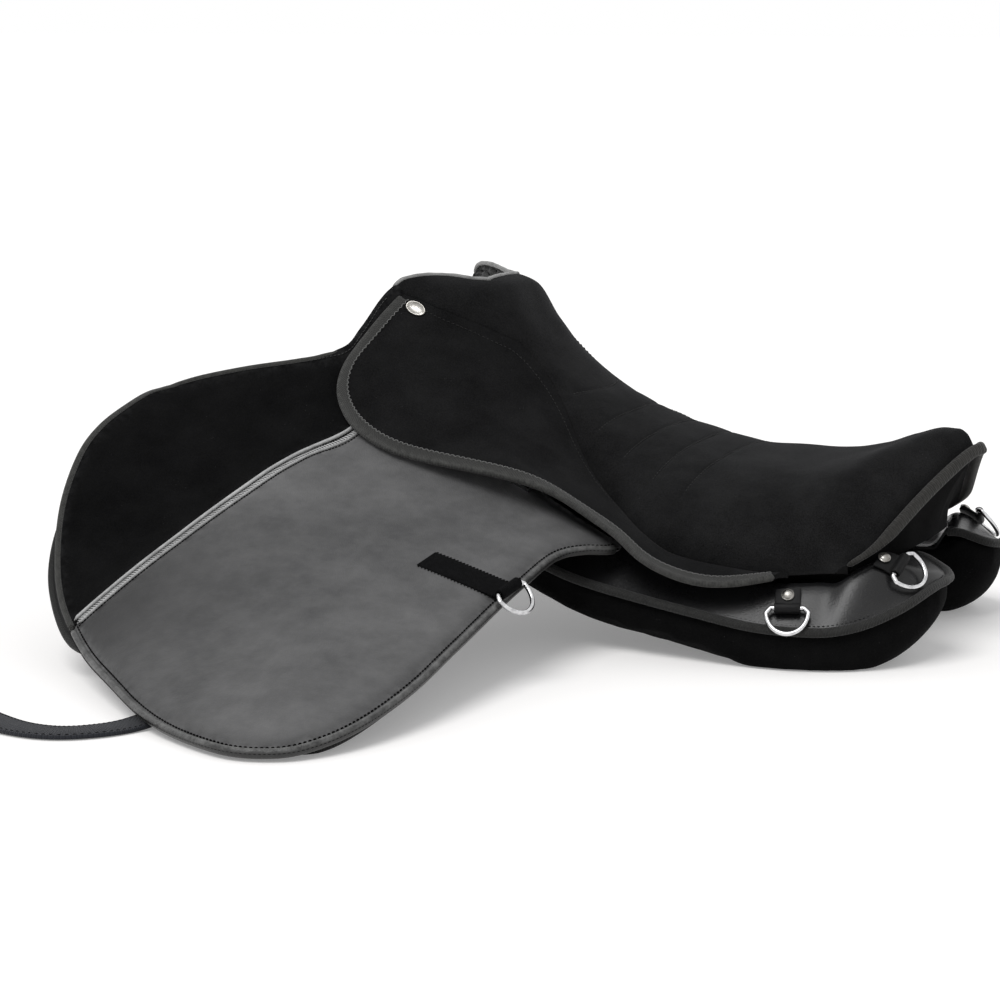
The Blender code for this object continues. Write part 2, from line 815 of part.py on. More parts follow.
def build_flap(name, side):
    top = flap_layer(0.0)
    frontX = flapFoldFront[0]
    rootEdge = [(-0.2360, 0.1050), (-0.2664, 0.1197), (-0.3012, 0.1353), (-0.3344, 0.1533)]
    root = list(rootEdge)
    for k in range(17):
        x = frontX + 0.004 + (flapRearX - frontX - 0.008) * k / 16
        root.append((x, flap_fold(x).y - jointGap / 2))
    root += [(-0.0030, 0.1610), (0.0060, 0.1500), (0.0060, 0.1400), (-0.0180, 0.1330), (-0.0600, 0.1240)]
    root += [(-0.1100, 0.1160), (-0.1600, 0.1100), (-0.2000, 0.1050)]
    add_node("flap_root_" + name, fan_sheet(root, top, flapThickness, (1.0, 0.66, 0.33), side), "leather")

    outer = plan_curve(flapOutline, 46)
    inner = inward_outline(outer, flapBindingWidth + 2 * jointGap)
    pivotAt = flap_fold(frontX)
    pivot = Vector((pivotAt.x, side * pivotAt.y, pivotAt.z + flapAxisRise))
    run = flap_fold(flapRearX) - pivotAt
    tell_hinge("flap_" + name, pivot, Vector((run.x, side * run.y, run.z)) * side)
    seam = plan_curve(flapSeam, 17)
    splitAt = min(range(len(inner)), key=lambda k: (inner[k] - Vector(flapSeam[-1])).length)
    corner = inner[splitAt]
    seamLine = []
    for q in seam:
        if q[1] > flap_fold(q[0]).y + 0.002 and (Vector(q) - corner).length > 0.012:
            seamLine.append(q)
    seamLine.append((corner.x, corner.y))
    runs = [Vector(b) - Vector(a) for a, b in zip(seamLine, seamLine[1:])]
    runs.append(runs[-1])
    normals = [Vector((r.y, -r.x)).normalized() for r in runs]
    forward = [Vector(q) + n * -jointGap for q, n in zip(seamLine, normals)]
    rearward = [Vector(q) + n * jointGap for q, n in zip(seamLine, normals)]
    if forward[0].x > rearward[0].x:
        forward, rearward = rearward, forward

    def fold_run(low, high, count):
        spots = [low + (high - low) * k / (count - 1) for k in range(count)]
        return [(x, flap_fold(x).y + jointGap / 2) for x in spots]

    last = inner[-2]
    frontEdge = [(q.x, q.y) for q in inner[1:splitAt]]
    rearEdge = [(q.x, q.y) for q in inner[splitAt + 1:-1]]
    suedeOutline = fold_run(forward[0].x - 0.001, inner[1].x, 6) + frontEdge
    suedeOutline += [(q.x, q.y) for q in reversed(forward)]
    leatherOutline = [(q.x, q.y) for q in rearward] + rearEdge
    leatherOutline += fold_run(last.x, rearward[0].x + 0.001, 7)
    rings = (1.0, 0.8, 0.55, 0.3)
    add_node("flap_suede_" + name, fan_sheet(suedeOutline, top, flapThickness, rings, side), "suede", pivot)
    add_node("flap_leather_" + name, fan_sheet(leatherOutline, top, flapThickness, rings, side), "leather", pivot)

    path = []
    for x, y in seamLine[:-1]:
        path.append(Vector((x, side * y, top(x, y, flapThickness / 2) + seamRadius + 2 * jointGap)))
    rings = section_rings(path, round_outline(seamRadius, 6), [(0, 0, 1)] * len(path))
    add_node("flap_seam_" + name, loft_mesh(rings), "leather", pivot)

    band = []
    for a, b in zip(outer, inward_outline(outer, flapBindingWidth)):
        spots = [Vector(a).lerp(b, share) for share in (0.0, 0.5, 1.0)]
        band.append([Vector((q.x, side * q.y, top(q.x, q.y, 0.0))) for q in spots])
    band = band[1:-1]
    high, low = upright(band, flapBindingThickness, 1.05)
    add_node("flap_binding_" + name, grid_mesh(high, low), "tape", pivot)
    return top, pivot


def thin(outline, least):
    kept = [outline[0]]
    for q in outline[1:]:
        if (Vector(q) - Vector(kept[-1])).length >= least:
            kept.append(q)
    if (Vector(kept[-1]) - Vector(kept[0])).length < least:
        kept.pop()
    return kept


# Sweat flaps and girth billets
sweatOutline = [
    (-0.3350, 0.1860),
    (-0.3500, 0.2150),
    (-0.3580, 0.2500),
    (-0.3610, 0.2900),
    (-0.3555, 0.3250),
    (-0.3390, 0.3520),
    (-0.3040, 0.3820),
    (-0.2620, 0.3950),
    (-0.2150, 0.3980),
    (-0.1640, 0.3940),
    (-0.1300, 0.4380),
    (-0.1030, 0.4980),
    (-0.0710, 0.4900),
    (-0.0500, 0.4700),
    (-0.0380, 0.4300),
    (-0.0320, 0.3800),
    (-0.0300, 0.3000),
    (-0.0280, 0.2400),
    (-0.0260, 0.1900),
    (-0.0300, 0.1690),
    (-0.1000, 0.1690),
    (-0.2000, 0.1690),
    (-0.2900, 0.1700),
]
billetDrop = flapThickness / 2 + layerGap + billetThickness / 2
sweatDrop = billetDrop + billetThickness / 2 + layerGap + sweatThickness / 2
frontBillet = [
    (-0.0650, 0.1700, None),
    (-0.0850, 0.2300, None),
    (-0.1150, 0.3100, None),
    (-0.1450, 0.3750, None),
    (-0.1650, 0.4150, None),
    (-0.1790, 0.4420, 0.0095),
    (-0.1930, 0.4690, 0.0022),
    (-0.2070, 0.4930, 0.0018),
    (-0.2280, 0.5080, 0.0018),
    (-0.2560, 0.5090, 0.0018),
    (-0.2860, 0.4980, 0.0018),
    (-0.3150, 0.4820, 0.0018),
]
rearBillet = [
    (-0.0320, 0.1700, None),
    (-0.0460, 0.2300, None),
    (-0.0750, 0.3100, None),
    (-0.0950, 0.3700, None),
    (-0.1100, 0.4200, None),
    (-0.1180, 0.4520, None),
]


def build_sweat_flap(name, side):
    layer = flap_layer(-sweatDrop)

    def resting(x, y, offset):
        return max(layer(x, y, offset), 0.0 if offset < 0 else 0.0020)

    outline = thin(sweatOutline, 0.001)
    rings = (1.0, 0.85, 0.60, 0.30)
    add_node("sweat_flap_" + name, fan_sheet(outline, resting, sweatThickness, rings, side), "leather")


def build_billet(name, points, side):
    layer = flap_layer(-billetDrop)
    route = [(x, y, layer(x, y, 0.0) if z is None else z) for x, y, z in points]
    path = along(route, 30)
    up = []
    for q in path:
        dx = layer(q.x + 0.005, q.y, 0.0) - layer(q.x - 0.005, q.y, 0.0)
        dy = layer(q.x, q.y + 0.005, 0.0) - layer(q.x, q.y - 0.005, 0.0)
        level = ease(q.z, 0.004, 0.012)
        up.append(Vector((-dx * 100 * level, -side * dy * 100 * level, 1)))
    path = mirrored(path, side)
    rings = section_rings(path, bar_outline(billetWidth, billetThickness), up)
    add_node(name, loft_mesh(rings), "leather")


# Panels
def panel_top(x, y, row):
    # middle of the leather that covers the panel: under the tree, up to the seat's seam, and down outside
    outer = row[1]
    width = halfWidth(x)
    seam = seamHeight(x)
    share = min(y / width, 1.0)
    arch = crownShare * (crownHeight(min(x, 0.18)) - seam) * (1 - 0.45 * ease(x, 0.08, 0.18))
    low = seam - seatEdge - bearingGap - treeThickness - plateGap - plateThickness - panelGap
    low += arch * (1 - share * share)
    back = ease(x, -0.06, 0.0)
    shoulder = low + (seam - panelShoulder - low) * back * ease(y / width, treeReach + 0.03, 0.98)
    crease = min(width, outer - 0.012)
    if y > crease:
        shoulder = shoulder + (row[2] - shoulder) * min((y - crease) / (outer - crease), 1.0)
    behind = ease(x, 0.150, 0.185)
    if behind == 0:
        return shoulder
    baseX = seamBackX + (cantleBaseX - seamBackX) * max(0.0, 1 - share * share)
    rear = low + (rearHeight(x) - low) * ease(x - baseX, 0.001, 0.016)
    edge = max(0.0, (y - outer + 0.032) / 0.032)
    rear = rear + (row[2] - rear) * min(edge, 1.0) ** 1.3
    return shoulder + (rear - shoulder) * behind


panelCurves = [smooth(panelStations, k) for k in range(1, 6)]
rearHeight = smooth(panelRear)


def panel_row(x):
    return [curve(x) for curve in panelCurves]


def panel_columns(x, row):
    # places across the leather, crowded where it turns down outside the seat
    inner = row[0] + 0.001
    stop = row[1] - panelBindingWidth * 0.75 - 0.0006
    crease = max(min(halfWidth(x), row[1] - 0.012), inner + 0.010)
    tree = min(max(treeReach * halfWidth(x) + 0.003, inner + 0.004), (inner + crease) / 2 + 0.004)
    return [inner, (inner + tree) / 2, tree, (tree + crease) / 2, crease, (crease + stop) / 2, stop]


def panel_section(x, side):
    row = panel_row(x)
    inner, outer, edgeHeight, under, underInner = row
    clear = panelLeather * 0.6 + panelUnderGap
    bandClear = panelBindingThickness / 2 + panelUnderGap
    ys = panel_columns(x, row)
    wide = outer - inner
    ring = [(inner, panel_top(x, inner, row) - clear - min(0.010, 0.2 * wide))]
    ring += [(y, panel_top(x, y, row) - clear) for y in ys[:-1]]
    ring.append((ys[-1] - 0.0010, panel_top(x, ys[-1], row) - bandClear))
    ring.append((outer - 0.0010, edgeHeight - bandClear - 0.0010))
    wall = edgeHeight - bandClear - 0.0010 - under
    ring.append((outer, under + 0.50 * wall))
    ring.append((outer - min(0.0040, 0.1 * wide), under + 0.12 * wall))
    ring.append((outer - min(0.0120, 0.2 * wide), under + 0.02 * wall))
    ring.append((outer - min(0.0220, 0.35 * wide), under))
    flat = outer - min(0.060, 0.6 * wide)
    ring.append((flat, under))
    ring.append(((flat + inner) / 2 + 0.002, under + 0.45 * (underInner - under)))
    ring.append((inner + min(0.006, 0.1 * wide), underInner))
    ring.append((inner, underInner + 0.3 * (ring[0][1] - underInner)))
    return [Vector((x, side * y, z)) for y, z in ring]


def build_panel(name, side):
    ends = [station[0] for station in panelStations]
    xs = [ends[0] + (ends[-6] - ends[0]) * k / 15 for k in range(16)]
    xs += [ends[-6] + (ends[-1] - ends[-6]) * math.sin(math.pi / 2 * k / 7) for k in range(1, 8)]
    add_node("panel_" + name, loft_mesh([panel_section(x, side) for x in xs]), "suede")
    sheet = []
    band = []
    for x in xs:
        row = panel_row(x)
        outer = row[1]
        stop = outer - panelBindingWidth * 0.75
        sheet.append([Vector((x, side * y, panel_top(x, y, row))) for y in panel_columns(x, row)])
        ends = (stop, (stop + outer + 0.002) / 2, outer + 0.002)
        band.append([Vector((x, side * y, panel_top(x, y, row))) for y in ends])
    high, low = upright(sheet, panelLeather, 1.2)
    add_node("panel_cover_" + name, grid_mesh(high, low), "leather")
    high, low = upright(band, panelBindingThickness, 1.0)
    add_node("panel_binding_" + name, grid_mesh(high, low), "tape")


# Dees, their leather chapes and rivets
def surface_frame(x, y, side, height):
    # origin on a surface, with axes along the part, down the slope and out of it
    reach = 0.004
    origin = Vector((x, side * y, height(x, y)))
    ahead = Vector((x + reach, side * y, height(x + reach, y)))
    beside = Vector((x, side * (y + reach), height(x, y + reach)))
    lengthwise = (ahead - origin).normalized()
    outwards = (beside - origin)
    outwards = (outwards - lengthwise * outwards.dot(lengthwise)).normalized()
    normal = lengthwise.cross(outwards) * side
    return origin, lengthwise, outwards, normal


def placed(frame, along_part, down, out):
    origin, lengthwise, outwards, normal = frame
    return origin + lengthwise * along_part + outwards * down + normal * out


def dee_mesh(frame, lift, width, droop=0):
    # straight bar along the frame's first axis, bow down the slope
    half = width / 2
    bend = 1.8 * deeWire
    spots = [(-half + bend + (width - 2 * bend) * k / 2, 0.0) for k in range(3)]
    turns = 13
    for k in range(turns):
        angle = math.pi * (k + 0.5) / turns
        spots.append((half * math.cos(angle), bend + (deeDepth - bend) * math.sin(angle)))
    c = math.cos(math.radians(droop))
    t = math.sin(math.radians(droop))
    path = [placed(frame, a, b * c, lift - b * t) for a, b in spots]
    rings = section_rings(path, round_outline(deeWire, 5), [frame[3]] * len(path), True)
    return loft_mesh(rings, True)


def chape_mesh(frame, back, lift):
    # leather strap from the rivet, curled round the dee's straight bar
    curl = deeWire + hardwareGap + chapeThickness / 2
    base = lift - curl
    flats = [(-back, base), (-back * 0.5, base), (-hardwareGap, base)]
    for k in range(1, 9):
        angle = -math.pi / 2 + curlTurn * math.pi * k / 8
        flats.append((curl * math.cos(angle), lift + curl * math.sin(angle)))
    path = [placed(frame, 0.0, a, b) for a, b in flats]
    up = []
    for k in range(len(flats)):
        a = flats[max(k - 1, 0)]
        b = flats[min(k + 1, len(flats) - 1)]
        run = Vector((b[0] - a[0], b[1] - a[1])).normalized()
        up.append(frame[2] * -run.y + frame[3] * run.x)
    rings = section_rings(path, bar_outline(chapeWidth, chapeThickness), up)
    return loft_mesh(rings)


def rivet_mesh(frame, back, base):
    # domed head standing on the strap
    profile = [(1.0, 0.0), (1.0, 0.0006), (0.85, 0.0016), (0.5, 0.0023)]
    rings = []
    for share, height in profile:
        ring = []
        for k in range(10):
            angle = 2 * math.pi * k / 10
            ring.append(placed(frame, rivetRadius * share * math.cos(angle),
                               -back + rivetRadius * share * math.sin(angle), base + height))
        rings.append(ring)
    return loft_mesh(rings)


def turned_frame(frame, degrees):
    # the same frame turned about its normal, towards its first axis
    origin, lengthwise, outwards, normal = frame
    c = math.cos(math.radians(degrees))
    t = math.sin(math.radians(degrees))
    return origin, lengthwise * c - outwards * t, outwards * c + lengthwise * t, normal


def build_dees(name, side):
    def height(x, y):
        return panel_top(x, y, panel_row(x))

    for place, (x, y, turn) in panelDees.items():
        frame = turned_frame(surface_frame(x, y, side, height), turn)
        base = panelLeather / 2 * 1.3 + chapeBaseGap
        lift = base + chapeThickness + hardwareGap + deeWire
        tag = place + "_" + name
        pivot = placed(frame, 0.0, 0.0, lift)
        add_node("panel_dee_" + tag, dee_mesh(frame, lift, deeWidth), "steel", pivot)
        add_node("dee_chape_" + tag, chape_mesh(frame, chapeLength, lift), "leather")
        add_node("dee_rivet_" + tag, rivet_mesh(frame, rivetAt, base + chapeThickness + jointGap), "steel")
        tell_hinge("panel_dee_" + tag, pivot, frame[1] * side)


def build_badge(name, side):
    inner = skirt_inner(0.045)
    outer = fold_point(0.045 / 0.62)

    def height(x, y):
        t = (y - inner.y) / (outer.y - inner.y)
        return inner.z + (outer.z - inner.z) * t - 0.45 * (x - badgeX)

    frame = surface_frame(badgeX, badgeY, side, height)
    lift = skirtThickness / 2 + badgeGap
    rings = []
    for share, rise in ((1.0, 0.0), (1.0, 0.6), (0.8, 1.0)):
        ring = []
        for k in range(badgeSides):
            angle = 2 * math.pi * k / badgeSides
            ring.append(placed(frame, badgeLength / 2 * share * math.cos(angle),
                               badgeWidth / 2 * share * math.sin(angle), lift + badgeThickness * rise))
        rings.append(ring)
    add_node("badge_" + name, loft_mesh(rings), "steel")


# Stirrup bars with their hinged thumb catches
def bar_frame(side):
    origin = Vector((barPlace[0], side * barPlace[1], barPlace[2]))
    lengthwise = Vector((1, 0, -barRake)).normalized()
    outwards = Vector((0, side, -barLean))
    outwards = (outwards - lengthwise * outwards.dot(lengthwise)).normalized()
    return origin, lengthwise, outwards, lengthwise.cross(outwards) * side


def prism(frame, outline, low, high):
    mesh = bmesh.new()
    lower = [mesh.verts.new(placed(frame, a, b, low)) for a, b in outline]
    upper = [mesh.verts.new(placed(frame, a, b, high)) for a, b in outline]
    mesh.faces.new(lower)
    mesh.faces.new(upper)
    count = len(outline)
    for k in range(count):
        m = (k + 1) % count
        mesh.faces.new((lower[k], lower[m], upper[m], upper[k]))
    bmesh.ops.recalc_face_normals(mesh, faces=mesh.faces)
    return mesh


def pin_mesh(frame, at, start, end, radius):
    rings = []
    for b in (start, end):
        ring = []
        for k in range(12):
            angle = 2 * math.pi * k / 12
            ring.append(placed(frame, at + radius * math.cos(angle), b, radius * math.sin(angle)))
        rings.append(ring)
    return loft_mesh(rings)


def cut(target, mesh, name):
    bmesh.ops.translate(mesh, verts=mesh.verts, vec=(centreShift, 0, 0))
    data = bpy.data.meshes.new(name)
    mesh.to_mesh(data)
    mesh.free()
    cutter = bpy.data.objects.new(name, data)
    bpy.context.scene.collection.objects.link(cutter)
    cutter.hide_render = True
    cutter.display_type = "WIRE"
    boolean = target.modifiers.new(name, "BOOLEAN")
    boolean.operation = "DIFFERENCE"
    boolean.solver = "EXACT"
    boolean.object = cutter


def build_stirrup_bar(name, side):
    frame = bar_frame(side)
    middle = (barOuter[0] + barOuter[1]) / 2
    half = barThickness / 2
    through = 2 * pinReach
    outline = [
        (barBack, barInner[0]), (barRailEnd, barInner[0]), (barRailEnd, barInner[1]),
        (barBack + barLeg, barInner[1]), (barBack + barLeg, barOuter[0]), (barEnd, barOuter[0]),
        (barEnd, middle - tongueWidth / 2), (pinAt + tongueHalf, middle - tongueWidth / 2),
        (pinAt + tongueHalf, middle + tongueWidth / 2), (barEnd, middle + tongueWidth / 2),
        (barEnd, barOuter[1]), (barBack, barOuter[1]),
    ]
    bar = add_node("stirrup_bar_" + name, prism(frame, outline, -half, half), "steel")
    hole = pin_mesh(frame, pinAt, barOuter[0] - through, barOuter[1] + through, pinRadius + pinClearance)
    cut(bar, hole, "bar_pin_hole_" + name)
    ear = tongueWidth / 2 + jointGap
    start = pinAt - tongueHalf
    body = start + catchSlot
    catch = [
        (start, barOuter[0]), (pinAt + catchLength, barOuter[0]), (pinAt + catchLength, barOuter[1]),
        (start, barOuter[1]), (start, middle + ear), (body, middle + ear),
        (body, middle - ear), (start, middle - ear),
    ]
    pivot = placed(frame, pinAt, middle, 0.0)
    lever = prism(frame, catch, -catchThickness / 2, catchThickness / 2)
    thumb = add_node("bar_catch_" + name, lever, "steel", pivot)
    hole = pin_mesh(frame, pinAt, barOuter[0] - through, barOuter[1] + through, pinRadius + pinClearance)
    cut(thumb, hole, "catch_pin_hole_" + name)
    pin = pin_mesh(frame, pinAt, barOuter[0] - pinReach / 2, barOuter[1] + pinReach / 2, pinRadius)
    add_node("catch_pin_" + name, pin, "steel")
    tell_hinge("bar_catch_" + name, pivot, frame[2] * -side)


def build_head_plate():
    drop = bearingGap + treeThickness + plateGap
    high = []
    for u in bearingRows[:3]:
        arch = [bearing(u, v, drop) for v in treeColumns]
        for out, fall in plateLegs:
            for end in (0, -1):
                leg = arch[end] + Vector((0, math.copysign(out, arch[end].y), -fall))
                arch.insert(len(arch) if end else 0, leg)
        high.append(arch)
    low = [[q - Vector((0, 0, plateThickness)) for q in line] for line in high]
    add_node("head_plate", grid_mesh(high, low), "steel")


def build_tab(name, side, pivot):
    layer = flap_layer(0.0)

    def height(x, y):
        return layer(x, y, flapThickness / 2)

    frame = turned_frame(surface_frame(tabX, tabY, side, height), 90 - tabTurn)
    lift = tabGap + tabThickness + hardwareGap + deeWire
    curl = deeWire + hardwareGap + tabThickness / 2
    base = lift - curl
    flats = [(-tabLength * (1 - k / 5), base) for k in range(6)]
    flats[-1] = (-hardwareGap, base)
    for k in range(1, 9):
        angle = -math.pi / 2 + curlTurn * math.pi * k / 8
        flats.append((curl * math.cos(angle), lift + curl * math.sin(angle)))
    path = [placed(frame, 0.0, a, b) for a, b in flats]
    for k in range(5):
        at = path[k]
        extra = height(at.x, side * at.y) - placed(frame, 0.0, flats[k][0], 0.0).z
        path[k] = at + frame[3] * extra
    up = []
    for k in range(len(flats)):
        a = flats[max(k - 1, 0)]
        b = flats[min(k + 1, len(flats) - 1)]
        run = Vector((b[0] - a[0], b[1] - a[1])).normalized()
        up.append(frame[2] * -run.y + frame[3] * run.x)
    rings = section_rings(path, bar_outline(tabWidth, tabThickness), up)
    add_node("flap_tab_" + name, loft_mesh(rings), "tape", pivot)
    deePivot = placed(frame, 0.0, 0.0, lift)
    add_node("flap_dee_" + name, dee_mesh(frame, lift, flapDeeWidth, deeDroop), "steel", deePivot)
    tell_hinge("flap_dee_" + name, deePivot, frame[1] * side)


build_cover()
build_foam()
build_tree()
build_piping()
build_cantle()
build_head_plate()
for sideName, sideSign in sides.items():
    build_skirt(sideName, sideSign)
    flapTop, flapPivot = build_flap(sideName, sideSign)
    build_sweat_flap(sideName, sideSign)
    build_billet("billet_front_" + sideName, frontBillet, sideSign)
    build_billet("billet_rear_" + sideName, rearBillet, sideSign)
    build_panel(sideName, sideSign)
    build_dees(sideName, sideSign)
    build_badge(sideName, sideSign)
    build_stirrup_bar(sideName, sideSign)
    build_tab(sideName, sideSign, flapPivot)
print("nodes", len(madeNodes))
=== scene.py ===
# Endurance saddle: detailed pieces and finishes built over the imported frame
import json
import math

import bmesh
import bpy
import numpy as np
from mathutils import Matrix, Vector, geometry
from mathutils.kdtree import KDTree


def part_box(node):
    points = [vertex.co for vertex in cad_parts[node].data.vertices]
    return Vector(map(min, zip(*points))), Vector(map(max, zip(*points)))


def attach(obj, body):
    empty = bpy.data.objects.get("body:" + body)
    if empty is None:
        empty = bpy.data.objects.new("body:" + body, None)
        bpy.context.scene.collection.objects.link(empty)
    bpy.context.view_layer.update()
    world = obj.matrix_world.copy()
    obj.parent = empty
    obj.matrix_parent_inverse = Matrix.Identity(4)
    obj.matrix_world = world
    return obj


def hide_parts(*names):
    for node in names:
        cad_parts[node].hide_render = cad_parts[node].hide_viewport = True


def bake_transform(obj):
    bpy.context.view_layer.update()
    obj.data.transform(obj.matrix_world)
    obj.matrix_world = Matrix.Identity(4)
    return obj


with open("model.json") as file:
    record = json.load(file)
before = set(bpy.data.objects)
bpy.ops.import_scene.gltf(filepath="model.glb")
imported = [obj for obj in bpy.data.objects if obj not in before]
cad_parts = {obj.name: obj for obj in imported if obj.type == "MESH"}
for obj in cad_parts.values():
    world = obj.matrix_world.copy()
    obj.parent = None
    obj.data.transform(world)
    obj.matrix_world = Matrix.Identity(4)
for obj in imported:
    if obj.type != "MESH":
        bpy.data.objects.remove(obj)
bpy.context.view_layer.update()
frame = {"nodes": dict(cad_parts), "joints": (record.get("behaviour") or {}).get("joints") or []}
shift = np.array([0.0676, 0.0, 0.0])  # the tables below count x from the front of the seat's dip
sideSigns = {"near": -1.0, "off": 1.0}
nodes = frame["nodes"]
joints = {j["name"]: j for j in frame["joints"]}
print("frame loaded")


def sums(tree, operation, first, second=None, third=None):
    node = tree.nodes.new("ShaderNodeMath")
    node.operation = operation
    for place, value in enumerate((first, second, third)):
        if value is None:
            continue
        if isinstance(value, (int, float)):
            node.inputs[place].default_value = value
        else:
            tree.links.new(value, node.inputs[place])
    return node.outputs[0]


# camera, floor and lights
view = {"place": (0.8023, -1.9038, 0.4533), "turn": 25.03, "tilt": 10.23, "lens": 98.11}


def addCamera():
    lens = bpy.data.cameras.new("camera")
    lens.sensor_width = 36
    lens.lens = view["lens"]
    lens.dof.use_dof = False
    made = bpy.data.objects.new("camera", lens)
    made.location = view["place"]
    made.rotation_euler = (math.radians(90 - view["tilt"]), 0, math.radians(view["turn"]))
    bpy.context.scene.collection.objects.link(made)
    bpy.context.scene.camera = made


addCamera()

studio = {
    "floorColour": (0.89, 0.875, 0.86),
    "floorGlow": 0.22,
    "floorReach": 40,
    "floorDrop": 0.0004,
    "worldColour": (0.97, 0.98, 1.0),
    "worldLight": 0.58,
    "sunPower": 1.58,
    "sunSpread": 32,
    "sunFrom": (-0.06, -0.62, 1.0),
}


def seenDirectly(tree):
    # camera, mirror and glass rays together
    rays = tree.nodes.new("ShaderNodeLightPath").outputs
    straight = sums(tree, "MAXIMUM", rays["Is Camera Ray"], rays["Is Glossy Ray"])
    return sums(tree, "MAXIMUM", straight, rays["Is Transmission Ray"])


def addSun():
    data = bpy.data.lights.new("softSun", "SUN")
    data.energy = studio["sunPower"]
    data.angle = math.radians(studio["sunSpread"])
    made = bpy.data.objects.new("softSun", data)
    made.rotation_euler = (-Vector(studio["sunFrom"])).to_track_quat("-Z", "Y").to_euler()
    bpy.context.scene.collection.objects.link(made)


def addWorld():
    world = bpy.data.worlds.new("studio")
    world.use_nodes = True
    tree = world.node_tree
    tree.nodes.clear()
    light = tree.nodes.new("ShaderNodeBackground")
    light.inputs["Color"].default_value = (*studio["worldColour"], 1)
    light.inputs["Strength"].default_value = studio["worldLight"]
    white = tree.nodes.new("ShaderNodeBackground")
    white.inputs["Color"].default_value = (1, 1, 1, 1)
    white.inputs["Strength"].default_value = 1.0
    mix = tree.nodes.new("ShaderNodeMixShader")
    end = tree.nodes.new("ShaderNodeOutputWorld")
    tree.links.new(seenDirectly(tree), mix.inputs[0])
    tree.links.new(light.outputs[0], mix.inputs[1])
    tree.links.new(white.outputs[0], mix.inputs[2])
    tree.links.new(mix.outputs[0], end.inputs[0])
    bpy.context.scene.world = world


def addFloor():
    floor = bpy.data.materials.new("paleFloor")
    floor.use_nodes = True
    tree = floor.node_tree
    shader = tree.nodes["Principled BSDF"]
    shader.inputs["Base Color"].default_value = (*studio["floorColour"], 1)
    shader.inputs["Roughness"].default_value = 0.7
    shader.inputs["Specular IOR Level"].default_value = 0.0
    glow = tree.nodes.new("ShaderNodeEmission")
    glow.inputs["Color"].default_value = (1, 1, 1, 1)
    tree.links.new(sums(tree, "MULTIPLY", seenDirectly(tree), studio["floorGlow"]), glow.inputs["Strength"])
    both = tree.nodes.new("ShaderNodeAddShader")
    tree.links.new(shader.outputs[0], both.inputs[0])
    tree.links.new(glow.outputs[0], both.inputs[1])
    tree.links.new(both.outputs[0], tree.nodes["Material Output"].inputs["Surface"])
    mesh = bpy.data.meshes.new("floor")
    far = studio["floorReach"]
    mesh.from_pydata([(-far, -far, 0), (far, -far, 0), (far, far, 0), (-far, far, 0)], [], [(0, 1, 2, 3)])
    mesh.materials.append(floor)
    made = bpy.data.objects.new("floor", mesh)
    made.location.z = -studio["floorDrop"]
    bpy.context.scene.collection.objects.link(made)


addSun()
addWorld()
addFloor()
bpy.context.scene.view_settings.view_transform = "Standard"
print("camera and studio ready")


# shared shader groups
def startGroup(name, numbers, results):
    group = bpy.data.node_groups.new(name, "ShaderNodeTree")
    for label, value in numbers.items():
        made = group.interface.new_socket(label, in_out="INPUT", socket_type="NodeSocketFloat")
        made.default_value = value
    for label in results:
        group.interface.new_socket(label, in_out="OUTPUT", socket_type="NodeSocketFloat")
    return group, group.nodes.new("NodeGroupInput"), group.nodes.new("NodeGroupOutput")


def noise(tree, where, scale, detail=3.0, rough=0.55, factor=1.0):
    node = tree.nodes.new("ShaderNodeTexNoise")
    node.inputs["Detail"].default_value = detail
    node.inputs["Roughness"].default_value = rough
    tree.links.new(where, node.inputs["Vector"])
    if isinstance(scale, (int, float)):
        node.inputs["Scale"].default_value = scale
    else:
        tree.links.new(sums(tree, "MULTIPLY", scale, factor), node.inputs["Scale"])
    return node.outputs["Fac"]


def remap(tree, value, low, high, toLow=0.0, toHigh=1.0):
    node = tree.nodes.new("ShaderNodeMapRange")
    for label, number in (("From Min", low), ("From Max", high), ("To Min", toLow), ("To Max", toHigh)):
        node.inputs[label].default_value = number
    tree.links.new(value, node.inputs["Value"])
    return node.outputs["Result"]


def stored(tree, name):
    # a value kept on the mesh's points
    node = tree.nodes.new("ShaderNodeAttribute")
    node.attribute_name = name
    return node.outputs["Fac"]


def napGroup():
    # short brushed nap: fibres, and patches where it lies another way
    group, start, end = startGroup("suedeNap", {"Fibres": 1300.0, "Patches": 26.0}, ("Height", "Shade"))
    where = group.nodes.new("ShaderNodeTexCoord").outputs["Object"]
    fibres = noise(group, where, start.outputs["Fibres"], 5.0, 0.75)
    coarse = noise(group, where, start.outputs["Fibres"], 2.0, 0.6, 0.28)
    patches = noise(group, where, start.outputs["Patches"], 4.0, 0.62)
    height = sums(group, "ADD", sums(group, "MULTIPLY", fibres, 0.6), sums(group, "MULTIPLY", coarse, 0.4))
    group.links.new(height, end.inputs["Height"])
    broad = remap(group, patches, 0.35, 0.68, 0.0, 0.35)
    shade = sums(group, "ADD", broad, remap(group, fibres, 0.36, 0.66, 0.0, 0.65))
    group.links.new(shade, end.inputs["Shade"])
    return group


